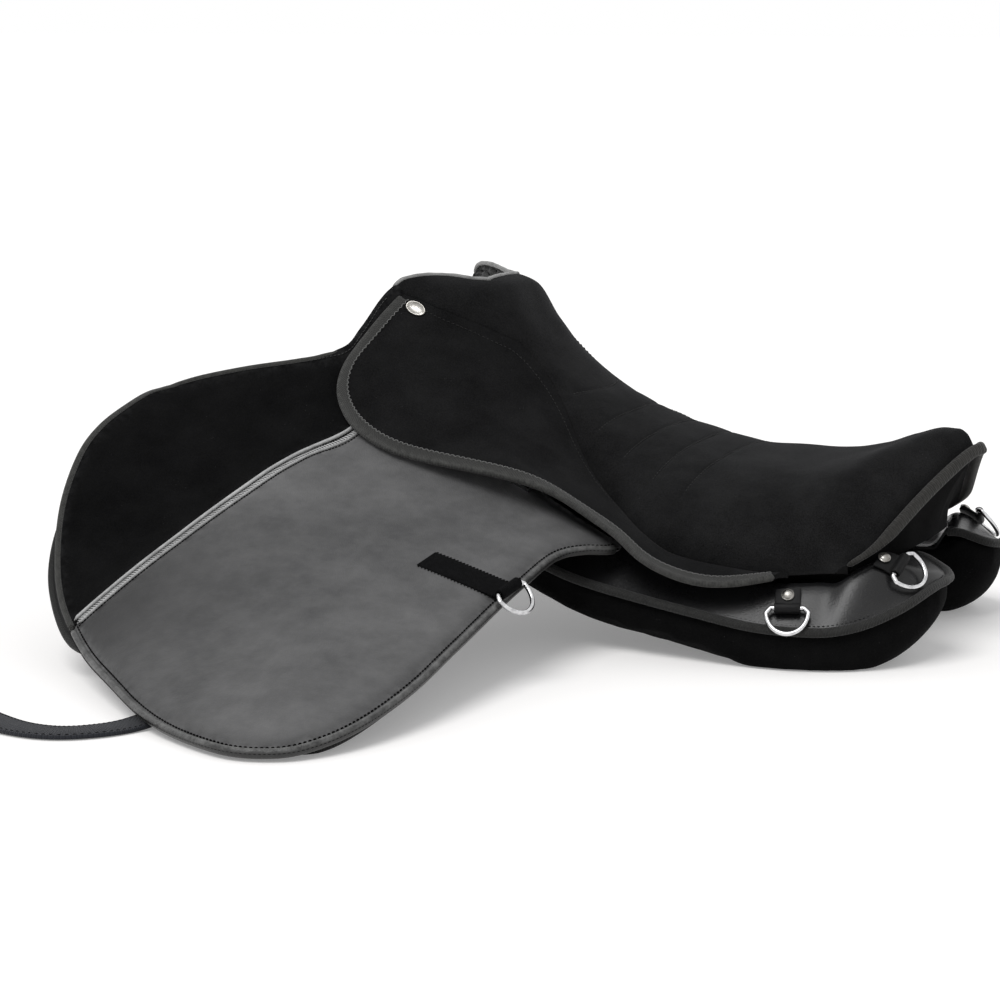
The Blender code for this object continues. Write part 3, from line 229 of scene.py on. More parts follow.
def grainGroup():
    # pebbled leather grain with soft large stains
    numbers = {"Pebbles": 950.0, "Stains": 7.0}
    group, start, end = startGroup("leatherGrain", numbers, ("Height", "Shade", "Dull"))
    where = group.nodes.new("ShaderNodeTexCoord").outputs["Object"]
    cells = group.nodes.new("ShaderNodeTexVoronoi")
    cells.feature = "SMOOTH_F1"
    cells.inputs["Smoothness"].default_value = 0.6
    group.links.new(where, cells.inputs["Vector"])
    group.links.new(start.outputs["Pebbles"], cells.inputs["Scale"])
    fine = noise(group, where, start.outputs["Pebbles"], 3.0, 0.6, 2.2)
    swell = noise(group, where, 42.0, 2.0, 0.5)
    height = sums(group, "MULTIPLY_ADD", cells.outputs["Distance"], -0.55, sums(group, "MULTIPLY", fine, 0.35))
    height = sums(group, "MULTIPLY_ADD", swell, 0.5, height)
    group.links.new(height, end.inputs["Height"])
    stains = noise(group, where, start.outputs["Stains"], 4.0, 0.6)
    mottle = noise(group, where, 48.0, 5.0, 0.7)
    broad = remap(group, stains, 0.34, 0.66, 0.0, 0.60)
    shade = sums(group, "ADD", broad, remap(group, mottle, 0.36, 0.66, 0.0, 0.40))
    group.links.new(shade, end.inputs["Shade"])
    rubbed = noise(group, where, 16.0, 5.0, 0.65)
    dull = sums(group, "MULTIPLY_ADD", fine, 0.35, sums(group, "MULTIPLY", rubbed, 0.65))
    group.links.new(remap(group, dull, 0.3, 0.7), end.inputs["Dull"])
    return group


def weaveGroup():
    # ribs across a tape, from the lengths stored on the mesh
    group, start, end = startGroup("tapeWeave", {"Ribs": 900.0, "Rows": 420.0}, ("Height", "Shade"))
    turns = sums(group, "MULTIPLY", stored(group, "run"), start.outputs["Ribs"])
    lines = sums(group, "MULTIPLY", stored(group, "across"), start.outputs["Rows"])
    ribs = sums(group, "SINE", sums(group, "MULTIPLY", turns, 2 * math.pi))
    slant = sums(group, "MULTIPLY", turns, math.pi)
    rows = sums(group, "SINE", sums(group, "MULTIPLY_ADD", lines, 2 * math.pi, slant))
    where = group.nodes.new("ShaderNodeTexCoord").outputs["Object"]
    fuzz = noise(group, where, 1800.0, 3.0, 0.7)
    weave = sums(group, "MULTIPLY_ADD", ribs, 0.30, sums(group, "MULTIPLY", rows, 0.20))
    height = sums(group, "ADD", weave, sums(group, "MULTIPLY", fuzz, 0.45))
    group.links.new(height, end.inputs["Height"])
    broad = remap(group, weave, -0.5, 0.5, 0.0, 0.55)
    tone = sums(group, "ADD", broad, remap(group, fuzz, 0.3, 0.7, 0.0, 0.45))
    group.links.new(tone, end.inputs["Shade"])
    return group


def wearGroup():
    # rubbed places along an edge: the rim value stored on the mesh, broken up by noise
    group, start, end = startGroup("edgeWear", {"Spots": 140.0}, ("Mask",))
    where = group.nodes.new("ShaderNodeTexCoord").outputs["Object"]
    spots = noise(group, where, start.outputs["Spots"], 5.0, 0.7)
    mask = sums(group, "MULTIPLY", stored(group, "rim"), remap(group, spots, 0.38, 0.66))
    group.links.new(mask, end.inputs["Mask"])
    return group


def dustGroup():
    # scattered lint and dust
    group, start, end = startGroup("lint", {"Specks": 420.0}, ("Mask",))
    where = group.nodes.new("ShaderNodeTexCoord").outputs["Object"]
    dots = group.nodes.new("ShaderNodeTexVoronoi")
    group.links.new(where, dots.inputs["Vector"])
    group.links.new(start.outputs["Specks"], dots.inputs["Scale"])
    rare = noise(group, where, 90.0, 2.0, 0.5)
    near = remap(group, dots.outputs["Distance"], 0.10, 0.04)
    mask = sums(group, "MULTIPLY", near, remap(group, rare, 0.60, 0.66))
    group.links.new(mask, end.inputs["Mask"])
    return group


groups = {
    "nap": napGroup(), "grain": grainGroup(), "weave": weaveGroup(), "wear": wearGroup(), "lint": dustGroup(),
}


def placeGroup(tree, name, **numbers):
    node = tree.nodes.new("ShaderNodeGroup")
    node.node_tree = groups[name]
    for label, value in numbers.items():
        node.inputs[label].default_value = value
    return node.outputs


def blendColour(tree, mask, first, second):
    node = tree.nodes.new("ShaderNodeMix")
    node.data_type = "RGBA"
    for socket, colour in ((node.inputs["A"], first), (node.inputs["B"], second)):
        if isinstance(colour, tuple):
            socket.default_value = (*colour, 1)
        else:
            tree.links.new(colour, socket)
    tree.links.new(mask, node.inputs["Factor"])
    return node.outputs["Result"]


def startMaterial(name):
    made = bpy.data.materials.new(name)
    made.use_nodes = True
    tree = made.node_tree
    return made, tree, tree.nodes["Principled BSDF"]


def raised(tree, shader, height, depth):
    bump = tree.nodes.new("ShaderNodeBump")
    bump.inputs["Distance"].default_value = depth
    tree.links.new(height, bump.inputs["Height"])
    tree.links.new(bump.outputs["Normal"], shader.inputs["Normal"])


def suedeMaterial(name, dark, light, sheen, depth=0.0004):
    made, tree, shader = startMaterial(name)
    nap = placeGroup(tree, "nap")
    wear = placeGroup(tree, "wear", Spots=190.0)
    lint = placeGroup(tree, "lint")
    colour = blendColour(tree, nap["Shade"], dark, light)
    colour = blendColour(tree, wear["Mask"], colour, tuple(2.2 * c for c in light))
    colour = blendColour(tree, sums(tree, "MULTIPLY", lint["Mask"], 0.5), colour, (0.16, 0.16, 0.16))
    tree.links.new(colour, shader.inputs["Base Color"])
    tree.links.new(remap(tree, nap["Shade"], 0.0, 1.0, 0.98, 0.86), shader.inputs["Roughness"])
    shader.inputs["Specular IOR Level"].default_value = 0.02
    shader.inputs["Sheen Weight"].default_value = sheen
    shader.inputs["Sheen Roughness"].default_value = 0.38
    shader.inputs["Sheen Tint"].default_value = (0.7, 0.7, 0.72, 1)
    raised(tree, shader, nap["Height"], depth)
    return made


def leatherMaterial(name, dark, light, rough, depth=0.00022, level=0.5, wearAndHighlight=0.5):
    made, tree, shader = startMaterial(name)
    grain = placeGroup(tree, "grain")
    wear = placeGroup(tree, "wear", Spots=120.0)
    lint = placeGroup(tree, "lint", Specks=300.0)
    # painted shade: the stored paintedShade value darkens the colour towards a quarter of the dark tone
    shaded = sums(tree, "MULTIPLY", stored(tree, "paintedShade"), 0.8)
    # the rim mask lightens the colour: rubbed wear, and on the flap's roll also a painted highlight along its
    # ridge
    rubbed = sums(tree, "MULTIPLY", wear["Mask"], wearAndHighlight)
    colour = blendColour(tree, grain["Shade"], dark, light)
    colour = blendColour(tree, shaded, colour, tuple(0.25 * c for c in dark))
    colour = blendColour(tree, rubbed, colour, tuple(2.6 * c for c in light))
    colour = blendColour(tree, sums(tree, "MULTIPLY", lint["Mask"], 0.25), colour, (0.2, 0.2, 0.2))
    tree.links.new(colour, shader.inputs["Base Color"])
    tree.links.new(remap(tree, grain["Dull"], 0.0, 1.0, rough[0], rough[1]), shader.inputs["Roughness"])
    shader.inputs["Specular IOR Level"].default_value = level
    raised(tree, shader, grain["Height"], depth)
    return made


def tapeMaterial(name, dark, light, ribs=900.0, rows=420.0, depth=0.0005, sheen=0.15, level=0.2):
    made, tree, shader = startMaterial(name)
    weave = placeGroup(tree, "weave", Ribs=ribs, Rows=rows)
    wear = placeGroup(tree, "wear", Spots=260.0)
    colour = blendColour(tree, weave["Shade"], dark, light)
    colour = blendColour(tree, wear["Mask"], colour, tuple(1.9 * c for c in light))
    tree.links.new(colour, shader.inputs["Base Color"])
    tree.links.new(remap(tree, weave["Shade"], 0.0, 1.0, 0.80, 0.62), shader.inputs["Roughness"])
    shader.inputs["Specular IOR Level"].default_value = level
    shader.inputs["Sheen Weight"].default_value = sheen
    shader.inputs["Sheen Roughness"].default_value = 0.4
    raised(tree, shader, weave["Height"], depth)
    return made


def metalMaterial(name, colour, dull, rough, depth=0.00006, spots=210.0):
    made, tree, shader = startMaterial(name)
    where = tree.nodes.new("ShaderNodeTexCoord").outputs["Object"]
    fine = noise(tree, where, 2600.0, 3.0, 0.6)
    broad = noise(tree, where, spots, 5.0, 0.65)
    tree.links.new(blendColour(tree, remap(tree, broad, 0.40, 0.70), colour, dull), shader.inputs["Base Color"])
    tree.links.new(remap(tree, broad, 0.35, 0.72, rough[0], rough[1]), shader.inputs["Roughness"])
    shader.inputs["Metallic"].default_value = 1.0
    raised(tree, shader, fine, depth)
    return made


def hardMaterial(name, dark, light, rough=(0.45, 0.65), depth=0.0002, scale=300.0):
    made, tree, shader = startMaterial(name)
    where = tree.nodes.new("ShaderNodeTexCoord").outputs["Object"]
    grit = noise(tree, where, scale, 5.0, 0.6)
    tree.links.new(blendColour(tree, remap(tree, grit, 0.3, 0.7), dark, light), shader.inputs["Base Color"])
    tree.links.new(remap(tree, grit, 0.3, 0.7, rough[0], rough[1]), shader.inputs["Roughness"])
    raised(tree, shader, grit, depth)
    return made


looks = {}
for name, dark, light, *more in (
        ("seatSuede", (0.0030, 0.0030, 0.0031), (0.0215, 0.0215, 0.0218), 0.10),
        ("flapSuede", (0.0015, 0.0015, 0.0016), (0.0100, 0.0100, 0.0102), 0.02),
        ("skirtSuede", (0.0028, 0.0028, 0.0029), (0.0170, 0.0170, 0.0173), 0.06),
        ("cushionSuede", (0.0022, 0.0022, 0.0023), (0.0085, 0.0085, 0.0086), 0.04),
        ("headLining", (0.040, 0.040, 0.040), (0.110, 0.110, 0.108), 0.3, 0.0009)):
    looks[name] = suedeMaterial(name, dark, light, *more)
for name, dark, light, *more in (
        # the flap leather's tone is raised to make up for its low specular level: partly the leather's own
        # grey, partly painted reflection of the overhead light
        ("flapLeather", (0.062, 0.062, 0.063), (0.136, 0.135, 0.135), (0.46, 0.62), 0.0003, 0.17),
        ("panelLeather", (0.0045, 0.0045, 0.0048), (0.0090, 0.0090, 0.0095), (0.22, 0.34), 0.00012, 0.32),
        ("strapLeather", (0.0030, 0.0030, 0.0032), (0.0075, 0.0075, 0.0078), (0.42, 0.56), 0.0002, 0.12),
        ("underLeather", (0.006, 0.006, 0.0064), (0.013, 0.013, 0.0135), (0.50, 0.66), 0.00022, 0.2),
        # the roll's strong rim blend is partly wear and partly a painted highlight on its ridge
        ("rollLeather", (0.036, 0.036, 0.036), (0.085, 0.085, 0.083), (0.30, 0.46), 0.0004, 0.45, 0.9),
        ("pipingLeather", (0.090, 0.090, 0.088), (0.200, 0.200, 0.196), (0.24, 0.40), 0.0003),
        ("weltLeather", (0.230, 0.230, 0.228), (0.400, 0.400, 0.396), (0.34, 0.48), 0.0002)):
    looks[name] = leatherMaterial(name, dark, light, *more)
for name, dark, light, *more in (
        ("strapNylon", (0.0080, 0.0090, 0.0120), (0.0230, 0.0250, 0.0310), 700.0, 300.0, 0.0004),
        ("skirtTape", (0.011, 0.011, 0.011), (0.050, 0.050, 0.047)),
        ("flapTape", (0.010, 0.010, 0.0095), (0.040, 0.040, 0.037)),
        ("panelTape", (0.007, 0.007, 0.007), (0.024, 0.024, 0.023)),
        ("cantleTape", (0.008, 0.0077, 0.0070), (0.024, 0.023, 0.021), 560.0, 90.0, 0.0004),
        ("tabTape", (0.0016, 0.0016, 0.0018), (0.0050, 0.0050, 0.0054), 1100.0, 500.0, 0.0004, 0.01, 0.02),
        ("paleThread", (0.085, 0.085, 0.082), (0.200, 0.200, 0.195), 1500.0, 1500.0, 0.0001),
        ("greyThread", (0.030, 0.030, 0.030), (0.070, 0.070, 0.068), 1500.0, 1500.0, 0.0001),
        ("dimThread", (0.009, 0.009, 0.009), (0.026, 0.026, 0.025), 1500.0, 1500.0, 0.0001, 0.15, 0.1),
        ("blackThread", (0.0012, 0.0012, 0.0012), (0.0040, 0.0040, 0.0040), 1500.0, 1500.0, 0.0001, 0.0, 0.03)):
    looks[name] = tapeMaterial(name, dark, light, *more)
for name, colour, dull, *more in (
        ("chrome", (0.70, 0.70, 0.71), (0.42, 0.42, 0.43), (0.05, 0.18)),
        ("nickel", (0.36, 0.35, 0.33), (0.22, 0.21, 0.19), (0.22, 0.42), 0.0001),
        ("steel", (0.40, 0.40, 0.41), (0.27, 0.27, 0.28), (0.28, 0.45), 0.0001, 90.0)):
    looks[name] = metalMaterial(name, colour, dull, *more)
for name, dark, light, *more in (
        ("treeShell", (0.010, 0.010, 0.0105), (0.020, 0.020, 0.021)),
        ("seatFoam", (0.020, 0.020, 0.021), (0.055, 0.055, 0.057), (0.85, 0.95), 0.0008, 700.0)):
    looks[name] = hardMaterial(name, dark, light, *more)
print("materials ready:", len(looks))


# curves, sweeps and sheets
def through(stations, column=1):
    xs = np.array([row[0] for row in stations], float)
    ys = np.array([row[column] for row in stations], float)
    step = np.diff(xs)
    slope = np.diff(ys) / step
    tangent = np.concatenate([slope[:1], np.zeros(len(xs) - 2), slope[-1:]])
    for k in range(1, len(xs) - 1):
        if slope[k - 1] * slope[k] > 0:
            tangent[k] = 2 * slope[k - 1] * slope[k] / (slope[k - 1] + slope[k])

    def value(x):
        x = np.clip(x, xs[0], xs[-1])
        k = np.clip(np.searchsorted(xs, x, side="right") - 1, 0, len(step) - 1)
        t = (x - xs[k]) / step[k]
        ends = (2 * t**3 - 3 * t**2 + 1) * ys[k] + (3 * t**2 - 2 * t**3) * ys[k + 1]
        return ends + step[k] * ((t**3 - 2 * t**2 + t) * tangent[k] + (t**3 - t**2) * tangent[k + 1])

    return value


def ease(x, low, high):
    t = np.clip((x - low) / (high - low), 0, 1)
    return t * t * (3 - 2 * t)


def lengthsOf(path):
    return np.concatenate([[0], np.cumsum(np.linalg.norm(np.diff(path, axis=0), axis=1))])


def pickAt(goals, run, points):
    # points of a line at given lengths along it
    return np.stack([np.interp(goals, run, points[:, k]) for k in range(points.shape[1])], 1)


def relax(points, rounds):
    # evens out a line of points, ends held
    for _ in range(rounds):
        points[1:-1] = (points[:-2] + 2 * points[1:-1] + points[2:]) / 4


def relaxGrid(grid, rounds):
    # evens out the inside of a grid
    for _ in range(rounds):
        grid[1:-1, 1:-1] = (grid[:-2, 1:-1] + grid[2:, 1:-1] + grid[1:-1, :-2] + grid[1:-1, 2:]) / 4


def spread(points, spacing=0.002, rounds=0, closed=False):
    # evenly spaced points on a smooth curve through the given ones
    knots = np.asarray(points, float)
    if closed:
        knots = np.vstack([knots[-1:], knots, knots[:2]])
    else:
        knots = np.vstack([2 * knots[:1] - knots[1:2], knots, 2 * knots[-1:] - knots[-2:-1]])
    t = np.linspace(0, 1, 16, endpoint=False)[:, None]
    fine = []
    for k in range(1, len(knots) - 2):
        a, b, c, d = knots[k - 1:k + 3]
        square = (2 * a - 5 * b + 4 * c - d) * t**2
        cube = (3 * b - a - 3 * c + d) * t**3
        fine.append(0.5 * (2 * b + (c - a) * t + square + cube))
    fine = np.vstack(fine + [knots[-2:-1]])
    relax(fine, rounds)
    run = lengthsOf(fine)
    count = max(int(round(run[-1] / spacing)), 3)
    out = pickAt(np.linspace(0, run[-1], count + 1), run, fine)
    return out[:-1] if closed else out


def unit(vectors):
    return vectors / np.maximum(np.linalg.norm(vectors, axis=-1, keepdims=True), 1e-12)


def squareTo(ahead, vectors):
    # the vectors' parts square to a direction, as unit vectors
    return unit(vectors - ahead * np.sum(vectors * ahead, 1, keepdims=True))


def gridNormals(grid):
    return unit(np.cross(np.gradient(grid, axis=1), np.gradient(grid, axis=0)))


def gridFaces(rows, cols, start=0, around=False):
    r = np.arange(rows - 1)[:, None]
    c = np.arange(cols if around else cols - 1)[None, :]
    n = (c + 1) % cols
    corners = (r * cols + c, r * cols + n, (r + 1) * cols + n, (r + 1) * cols + c)
    quads = np.stack(np.broadcast_arrays(*corners), -1)
    return (quads.reshape(-1, 4) + start).tolist()


def slabOf(top, bottom):
    # closed slab between two grids with the same layout
    rows, cols = top.shape[:2]
    count = rows * cols
    faces = gridFaces(rows, cols) + [f[::-1] for f in gridFaces(rows, cols, count)]
    rim = [(0, j) for j in range(cols)] + [(i, cols - 1) for i in range(1, rows)]
    rim += [(rows - 1, j) for j in range(cols - 2, -1, -1)] + [(i, 0) for i in range(rows - 2, 0, -1)]
    rim = [i * cols + j for i, j in rim]
    for a, b in zip(rim, rim[1:] + rim[:1]):
        faces.append([b, a, a + count, b + count])
    return np.vstack([top.reshape(-1, 3), bottom.reshape(-1, 3)]), faces


def tubeOf(rings, closed=False):
    # skin over rings; open ends get a flat cap
    rows, cols = rings.shape[:2]
    if closed:
        faces = gridFaces(rows + 1, cols, 0, True)
        faces = [[q % (rows * cols) for q in f] for f in faces]
    else:
        faces = gridFaces(rows, cols, 0, True)
        faces += [list(range(cols)), list(range(rows * cols - 1, (rows - 1) * cols - 1, -1))]
    return rings.reshape(-1, 3), faces


def sweep(path, ups, section, closed=False, tips=0.0):
    # carries a section (across, up) along a path, with ends that may close in over a length
    path = np.asarray(path, float)
    if closed:
        ahead = np.roll(path, -1, 0) - np.roll(path, 1, 0)
    else:
        ahead = np.gradient(path, axis=0)
    ahead = unit(ahead)
    ups = squareTo(ahead, np.broadcast_to(np.asarray(ups, float), path.shape))
    across = np.cross(ahead, ups)
    section = np.asarray(section, float)
    if section.ndim == 2:
        section = np.broadcast_to(section, (len(path), *section.shape))
    size = np.ones(len(path))
    if tips:
        run = lengthsOf(path)
        near = np.clip(np.minimum(run, run[-1] - run) / tips, 0, 1)
        size = np.sqrt(1 - (1 - near) ** 2) * 0.94 + 0.06
    section = section * size[:, None, None]
    return path[:, None] + across[:, None] * section[..., :1] + ups[:, None] * section[..., 1:]


def ringSection(radius, count=12, tall=None):
    turn = 2 * math.pi * np.arange(count) / count
    return np.stack([radius * np.cos(turn), (tall or radius) * np.sin(turn)], 1)


def boxSection(width, thickness, rounding, steps=3):
    # rounded flat section
    out = []
    for cx, cy, first in ((1, 1, 0), (-1, 1, 90), (-1, -1, 180), (1, -1, 270)):
        for k in range(steps + 1):
            a = math.radians(first + 90 * k / steps)
            x = cx * (width / 2 - rounding) + rounding * math.cos(a)
            out.append((x, cy * (thickness / 2 - rounding) + rounding * math.sin(a)))
    return np.array(out)


def addPiece(name, shape, look, body, replaced=(), values=None, sharp=40, keepNormals=False):
    points, faces = shape
    mesh = bpy.data.meshes.new(name)
    mesh.from_pydata((np.asarray(points) + shift).tolist(), [], faces)
    if not keepNormals:
        work = bmesh.new()
        work.from_mesh(mesh)
        bmesh.ops.recalc_face_normals(work, faces=work.faces)
        work.to_mesh(mesh)
        work.free()
    for label, numbers in (values or {}).items():
        store = mesh.attributes.new(label, "FLOAT", "POINT")
        store.data.foreach_set("value", np.asarray(numbers, np.float32).ravel())
    mesh.shade_smooth()
    mesh.set_sharp_from_angle(angle=math.radians(sharp))
    mesh.materials.append(looks[look])
    made = bpy.data.objects.new(name, mesh)
    bpy.context.scene.collection.objects.link(made)
    if replaced:
        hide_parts(*replaced)
    if isinstance(body, str):
        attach(made, body)
    else:
        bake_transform(made)
    return made


class StitchRows:
    # collects many small stitches into one mesh
    def __init__(self, radius):
        self.radius = radius
        self.sides = 5
        self.points = []
        self.faces = []
        self.count = 0

    def add(self, centres, along, ups, length, arch=0.0003):
        centres = np.asarray(centres, float)
        along = unit(np.asarray(along, float))
        ups = squareTo(along, np.asarray(ups, float))
        beside = np.cross(along, ups)
        shares = np.array([-1.0, -0.82, -0.3, 0.3, 0.82, 1.0])
        girth = np.array([0.30, 0.80, 1.0, 1.0, 0.80, 0.30]) * self.radius
        turn = 2 * math.pi * np.arange(self.sides) / self.sides
        ring = np.stack([np.cos(turn), np.sin(turn)], 1)
        rise = arch * (1 - shares**2) - 0.35 * self.radius
        core = centres[:, None] + along[:, None] * (shares * length / 2)[None, :, None]
        core = core + ups[:, None] * rise[None, :, None]
        around = beside[:, None, None] * ring[None, None, :, :1]
        around = around + ups[:, None, None] * ring[None, None, :, 1:]
        made = core[:, :, None] + around * girth[None, :, None, None]
        size = len(shares) * self.sides
        faces = np.array(gridFaces(len(shares), self.sides, 0, True))
        starts = self.count + size * np.arange(len(centres))
        self.points.append(made.reshape(-1, 3))
        self.faces += (faces[None] + starts[:, None, None]).reshape(-1, 4).tolist()
        for s in starts.tolist():
            self.faces.append(list(range(s + self.sides - 1, s - 1, -1)))
            self.faces.append(list(range(s + size - self.sides, s + size)))
        self.count += size * len(centres)

    def along(self, path, ups, pitch, length, slant=0.0, sideways=0.0, arch=0.0003):
        # stitches spaced evenly on a path; slant turns them, alternately where it is a pair
        run = lengthsOf(path)
        spots = np.arange(pitch / 2, run[-1], pitch)
        ups = np.broadcast_to(np.asarray(ups, float), path.shape)
        at = pickAt(spots, run, path)
        ahead = unit(pickAt(spots, run, np.gradient(path, run, axis=0)))
        up = unit(pickAt(spots, run, ups))
        beside = unit(np.cross(ahead, up))
        turns = np.resize(np.radians(slant), len(spots))[:, None]
        self.add(at + beside * sideways, ahead * np.cos(turns) + beside * np.sin(turns), up, length, arch)

    def finish(self, name, look, body):
        points = np.vstack(self.points)
        values = {"run": points[:, 0], "across": points[:, 1]}
        addPiece(name, (points, self.faces), look, body, (), values, 180, True)


def insidePolygon(points, outline):
    x, y = points[:, 0], points[:, 1]
    inside = np.zeros(len(points), bool)
    for (x0, y0), (x1, y1) in zip(outline, np.roll(outline, -1, 0)):
        crosses = (y0 > y) != (y1 > y)
        if crosses.any():
            inside ^= crosses & (x < (x1 - x0) * (y - y0) / (y1 - y0 + 1e-15) + x0)
    return inside


def edgeDistance(points, outline):
    run = np.roll(outline, -1, 0) - outline
    best = np.full(len(points), 9.0)
    for a, r in zip(outline, run):
        t = np.clip(((points - a) @ r) / max(r @ r, 1e-15), 0, 1)
        best = np.minimum(best, np.linalg.norm(points - a - t[:, None] * r, axis=1))
    return best


def insetOutline(outline, distance):
    ahead = np.roll(outline, -1, 0) - np.roll(outline, 1, 0)
    x, y = outline[:, 0], outline[:, 1]
    area = np.sum(x * np.roll(y, -1) - y * np.roll(x, -1))
    inward = unit(np.stack([-ahead[:, 1], ahead[:, 0]], 1)) * (1 if area > 0 else -1)
    return outline + inward * distance


def sheetOf(outline, surface, side, thickness, rounding, spacing,
            insets=(0.0006, 0.0014, 0.0026, 0.0045), puff=0.0, freeEdge=None):
    # closed sheet with a rounded rim over a flat outline; surface gives points and unit normals
    points = [outline]
    for inset in insets:
        ring = insetOutline(outline, inset)
        ring = ring[edgeDistance(ring, outline) > 0.93 * inset]
        points.append(ring)
    low, high = outline.min(0), outline.max(0)
    xs = np.arange(low[0], high[0], spacing)
    ys = np.arange(low[1], high[1], spacing * 0.87)
    grid = np.array([(x + (j % 2) * spacing / 2, y) for j, y in enumerate(ys) for x in xs])
    grid = grid[insidePolygon(grid, outline)]
    points.append(grid[edgeDistance(grid, outline) > insets[-1] + 0.4 * spacing])
    flat = np.vstack(points)
    count = len(outline)
    edges = [(k, (k + 1) % count) for k in range(count)]
    made = geometry.delaunay_2d_cdt([Vector(q) for q in flat], edges, [], 1, 1e-7)
    flat = np.array([tuple(v) for v in made[0]])
    faces = [list(f) for f in made[2]]
    toEdge = edgeDistance(flat, outline)
    half = thickness / 2 * np.sqrt(np.clip(1 - (1 - np.minimum(toEdge / rounding, 1)) ** 2, 0, 1))
    middle, normal = surface(flat[:, 0], flat[:, 1])
    rise = np.clip((toEdge - flap["puffFrom"]) / flap["puffWidth"], 0, 1)
    swell = puff * np.sqrt(1 - (1 - rise) ** 2)
    mirror = np.array([1, side, 1])
    top = (middle + normal * (half + swell)[:, None]) * mirror
    bottom = (middle - normal * half[:, None]) * mirror
    rim = toEdge < 1e-6
    lower = np.where(rim, np.arange(len(flat)), -1)
    lower[~rim] = len(flat) + np.arange((~rim).sum())
    allPoints = np.vstack([top, bottom[~rim]])
    allFaces = faces + [[int(lower[q]) for q in f[::-1]] for f in faces]
    # painted shade: the paintedShade value darkens a leather sheet towards its free edge, where the padded edge
    # curves down, and near the outer end of the flap's seam
    free = toEdge if freeEdge is None else edgeDistance(flat, freeEdge)
    toCorner = np.linalg.norm(flat - flapSeam[-1], axis=1)
    paintedShade = np.exp(-((free / flap["edgeShadeWidth"]) ** 2))
    paintedShade = np.maximum(paintedShade, 0.95 * np.exp(-((toCorner / flap["cornerShade"]) ** 2)))
    values = {"rim": np.exp(-((toEdge / 0.006) ** 2)), "paintedShade": paintedShade}
    return (allPoints, allFaces), {label: np.concatenate([q, q[~rim]]) for label, q in values.items()}


def fromPieces(parts):
    # several closed shapes as one mesh
    points = []
    faces = []
    for p, f in parts:
        start = sum(len(q) for q in points)
        points.append(np.asarray(p))
        faces += [[q + start for q in face] for face in f]
    return np.vstack(points), faces


def bandValues(rings, section, path, rim=None):
    # lengths along and across a band, and how worn it is
    values = {"run": lengthsOf(path)[:, None], "across": np.asarray(section)[:, 0]}
    if rim is not None:
        values["rim"] = rim
    return {label: np.broadcast_to(q, rings.shape[:2]) for label, q in values.items()}


def rimValues(shape, rim=0.0):
    return {"rim": np.full(len(shape[0]), rim)}


def frameOn(height, step, x, y):
    # points on a height field and its unit normals
    z = height(x, y)
    dx = (height(x + step, y) - height(x - step, y)) / (2 * step)
    dy = (height(x, y + step) - height(x, y - step)) / (2 * step)
    return np.stack([x, y, z], -1), unit(np.stack([-dx, -dy, np.ones_like(z)], -1))


def bothSides(*builders):
    for name, side in sideSigns.items():
        for build in builders:
            build(name, side)


def hingeSpan(name, side, reach):
    # start and end of the bend across a fold line, level and square to it
    joint = joints[name]
    pos = np.array(joint["pos_m"])
    axis = np.array(joint["axis"])
    out = unit(np.array([-axis[1], axis[0], 0.0]))
    if out[1] * side < 0:
        out = -out
    return tuple(pos - out * reach), tuple(pos + out * reach)


# seat
seat = {
    "front": -0.1500, "tipX": -0.2085, "back": 0.2240, "seamBackX": 0.1600, "cantleBaseX": 0.1920,
    "crownShare": 0.40, "rimSoftness": 0.10, "edge": 0.0060, "lip": 0.0040, "bow": 0.0120, "cover": 0.0025,
    "quiltFirst": -0.0639, "quiltPitch": 0.0277, "quiltCount": 5, "quiltDepth": 0.0011, "quiltReach": 0.80,
}
seamStations = [
    (-0.203, 0.0735, 0.2450), (-0.175, 0.0740, 0.2360), (-0.158, 0.0680, 0.2290), (-0.145, 0.0580, 0.2221),
    (-0.131, 0.0500, 0.2139), (-0.117, 0.0440, 0.2069), (-0.107, 0.0430, 0.1972), (-0.093, 0.0460, 0.1824),
    (-0.075, 0.0580, 0.1631), (-0.053, 0.0760, 0.1334), (-0.029, 0.0960, 0.1136), (-0.007, 0.1110, 0.0998),
    (0.0145, 0.1220, 0.0860), (0.0430, 0.1320, 0.0742), (0.0750, 0.1360, 0.0702), (0.1150, 0.1345, 0.0673),
    (0.1600, 0.1220, 0.0702),
]
crownStations = [
    (-0.205, 0.2620), (-0.188, 0.2580), (-0.172, 0.2540), (-0.160, 0.2510), (-0.149, 0.2500), (-0.137, 0.2470),
    (-0.120, 0.2235), (-0.103, 0.2025), (-0.086, 0.1860), (-0.070, 0.1728), (-0.053, 0.1642), (-0.036, 0.1550),
    (-0.020, 0.1480), (0.004, 0.1405), (0.029, 0.1340), (0.060, 0.1285), (0.092, 0.1275), (0.120, 0.1292),
    (0.147, 0.1345), (0.177, 0.1462), (0.204, 0.1545), (0.212, 0.1545), (0.2180, 0.1515), (0.224, 0.1410),
]
halfWidth = through(seamStations, 1)
seamHeight = through(seamStations, 2)
crownHeight = through(crownStations)


def seatPlan(u, v):
    a = np.abs(v)
    centre = seat["front"] + (seat["back"] - seat["front"]) * u
    frontPart = np.maximum(0, 1 - u / 0.3) ** 2
    backPart = np.maximum(0, (u - 0.62) / 0.38) ** 2
    skew = seat["bow"] + (seat["front"] - seat["tipX"] - seat["bow"]) * frontPart
    skew = skew + (seat["back"] - seat["seamBackX"] - seat["bow"]) * backPart
    front = np.maximum(a - 0.38, 0) ** 0.8 / 0.62**0.8
    back = 0.7 * a + 0.3 * a**14
    share = front * frontPart + back * backPart + a * a * (1 - frontPart - backPart)
    seamX = centre - skew
    x = centre - skew * share
    y = v * halfWidth(seamX)
    behind = ease(u, 0.45, 0.70)
    across = np.minimum(np.abs(y) / halfWidth(x), 1)
    across = np.minimum(across + (a - across) * behind, 1)
    return x, y, across, seamHeight(x + (seamX - x) * behind), crownHeight(x + (centre - x) * behind), centre


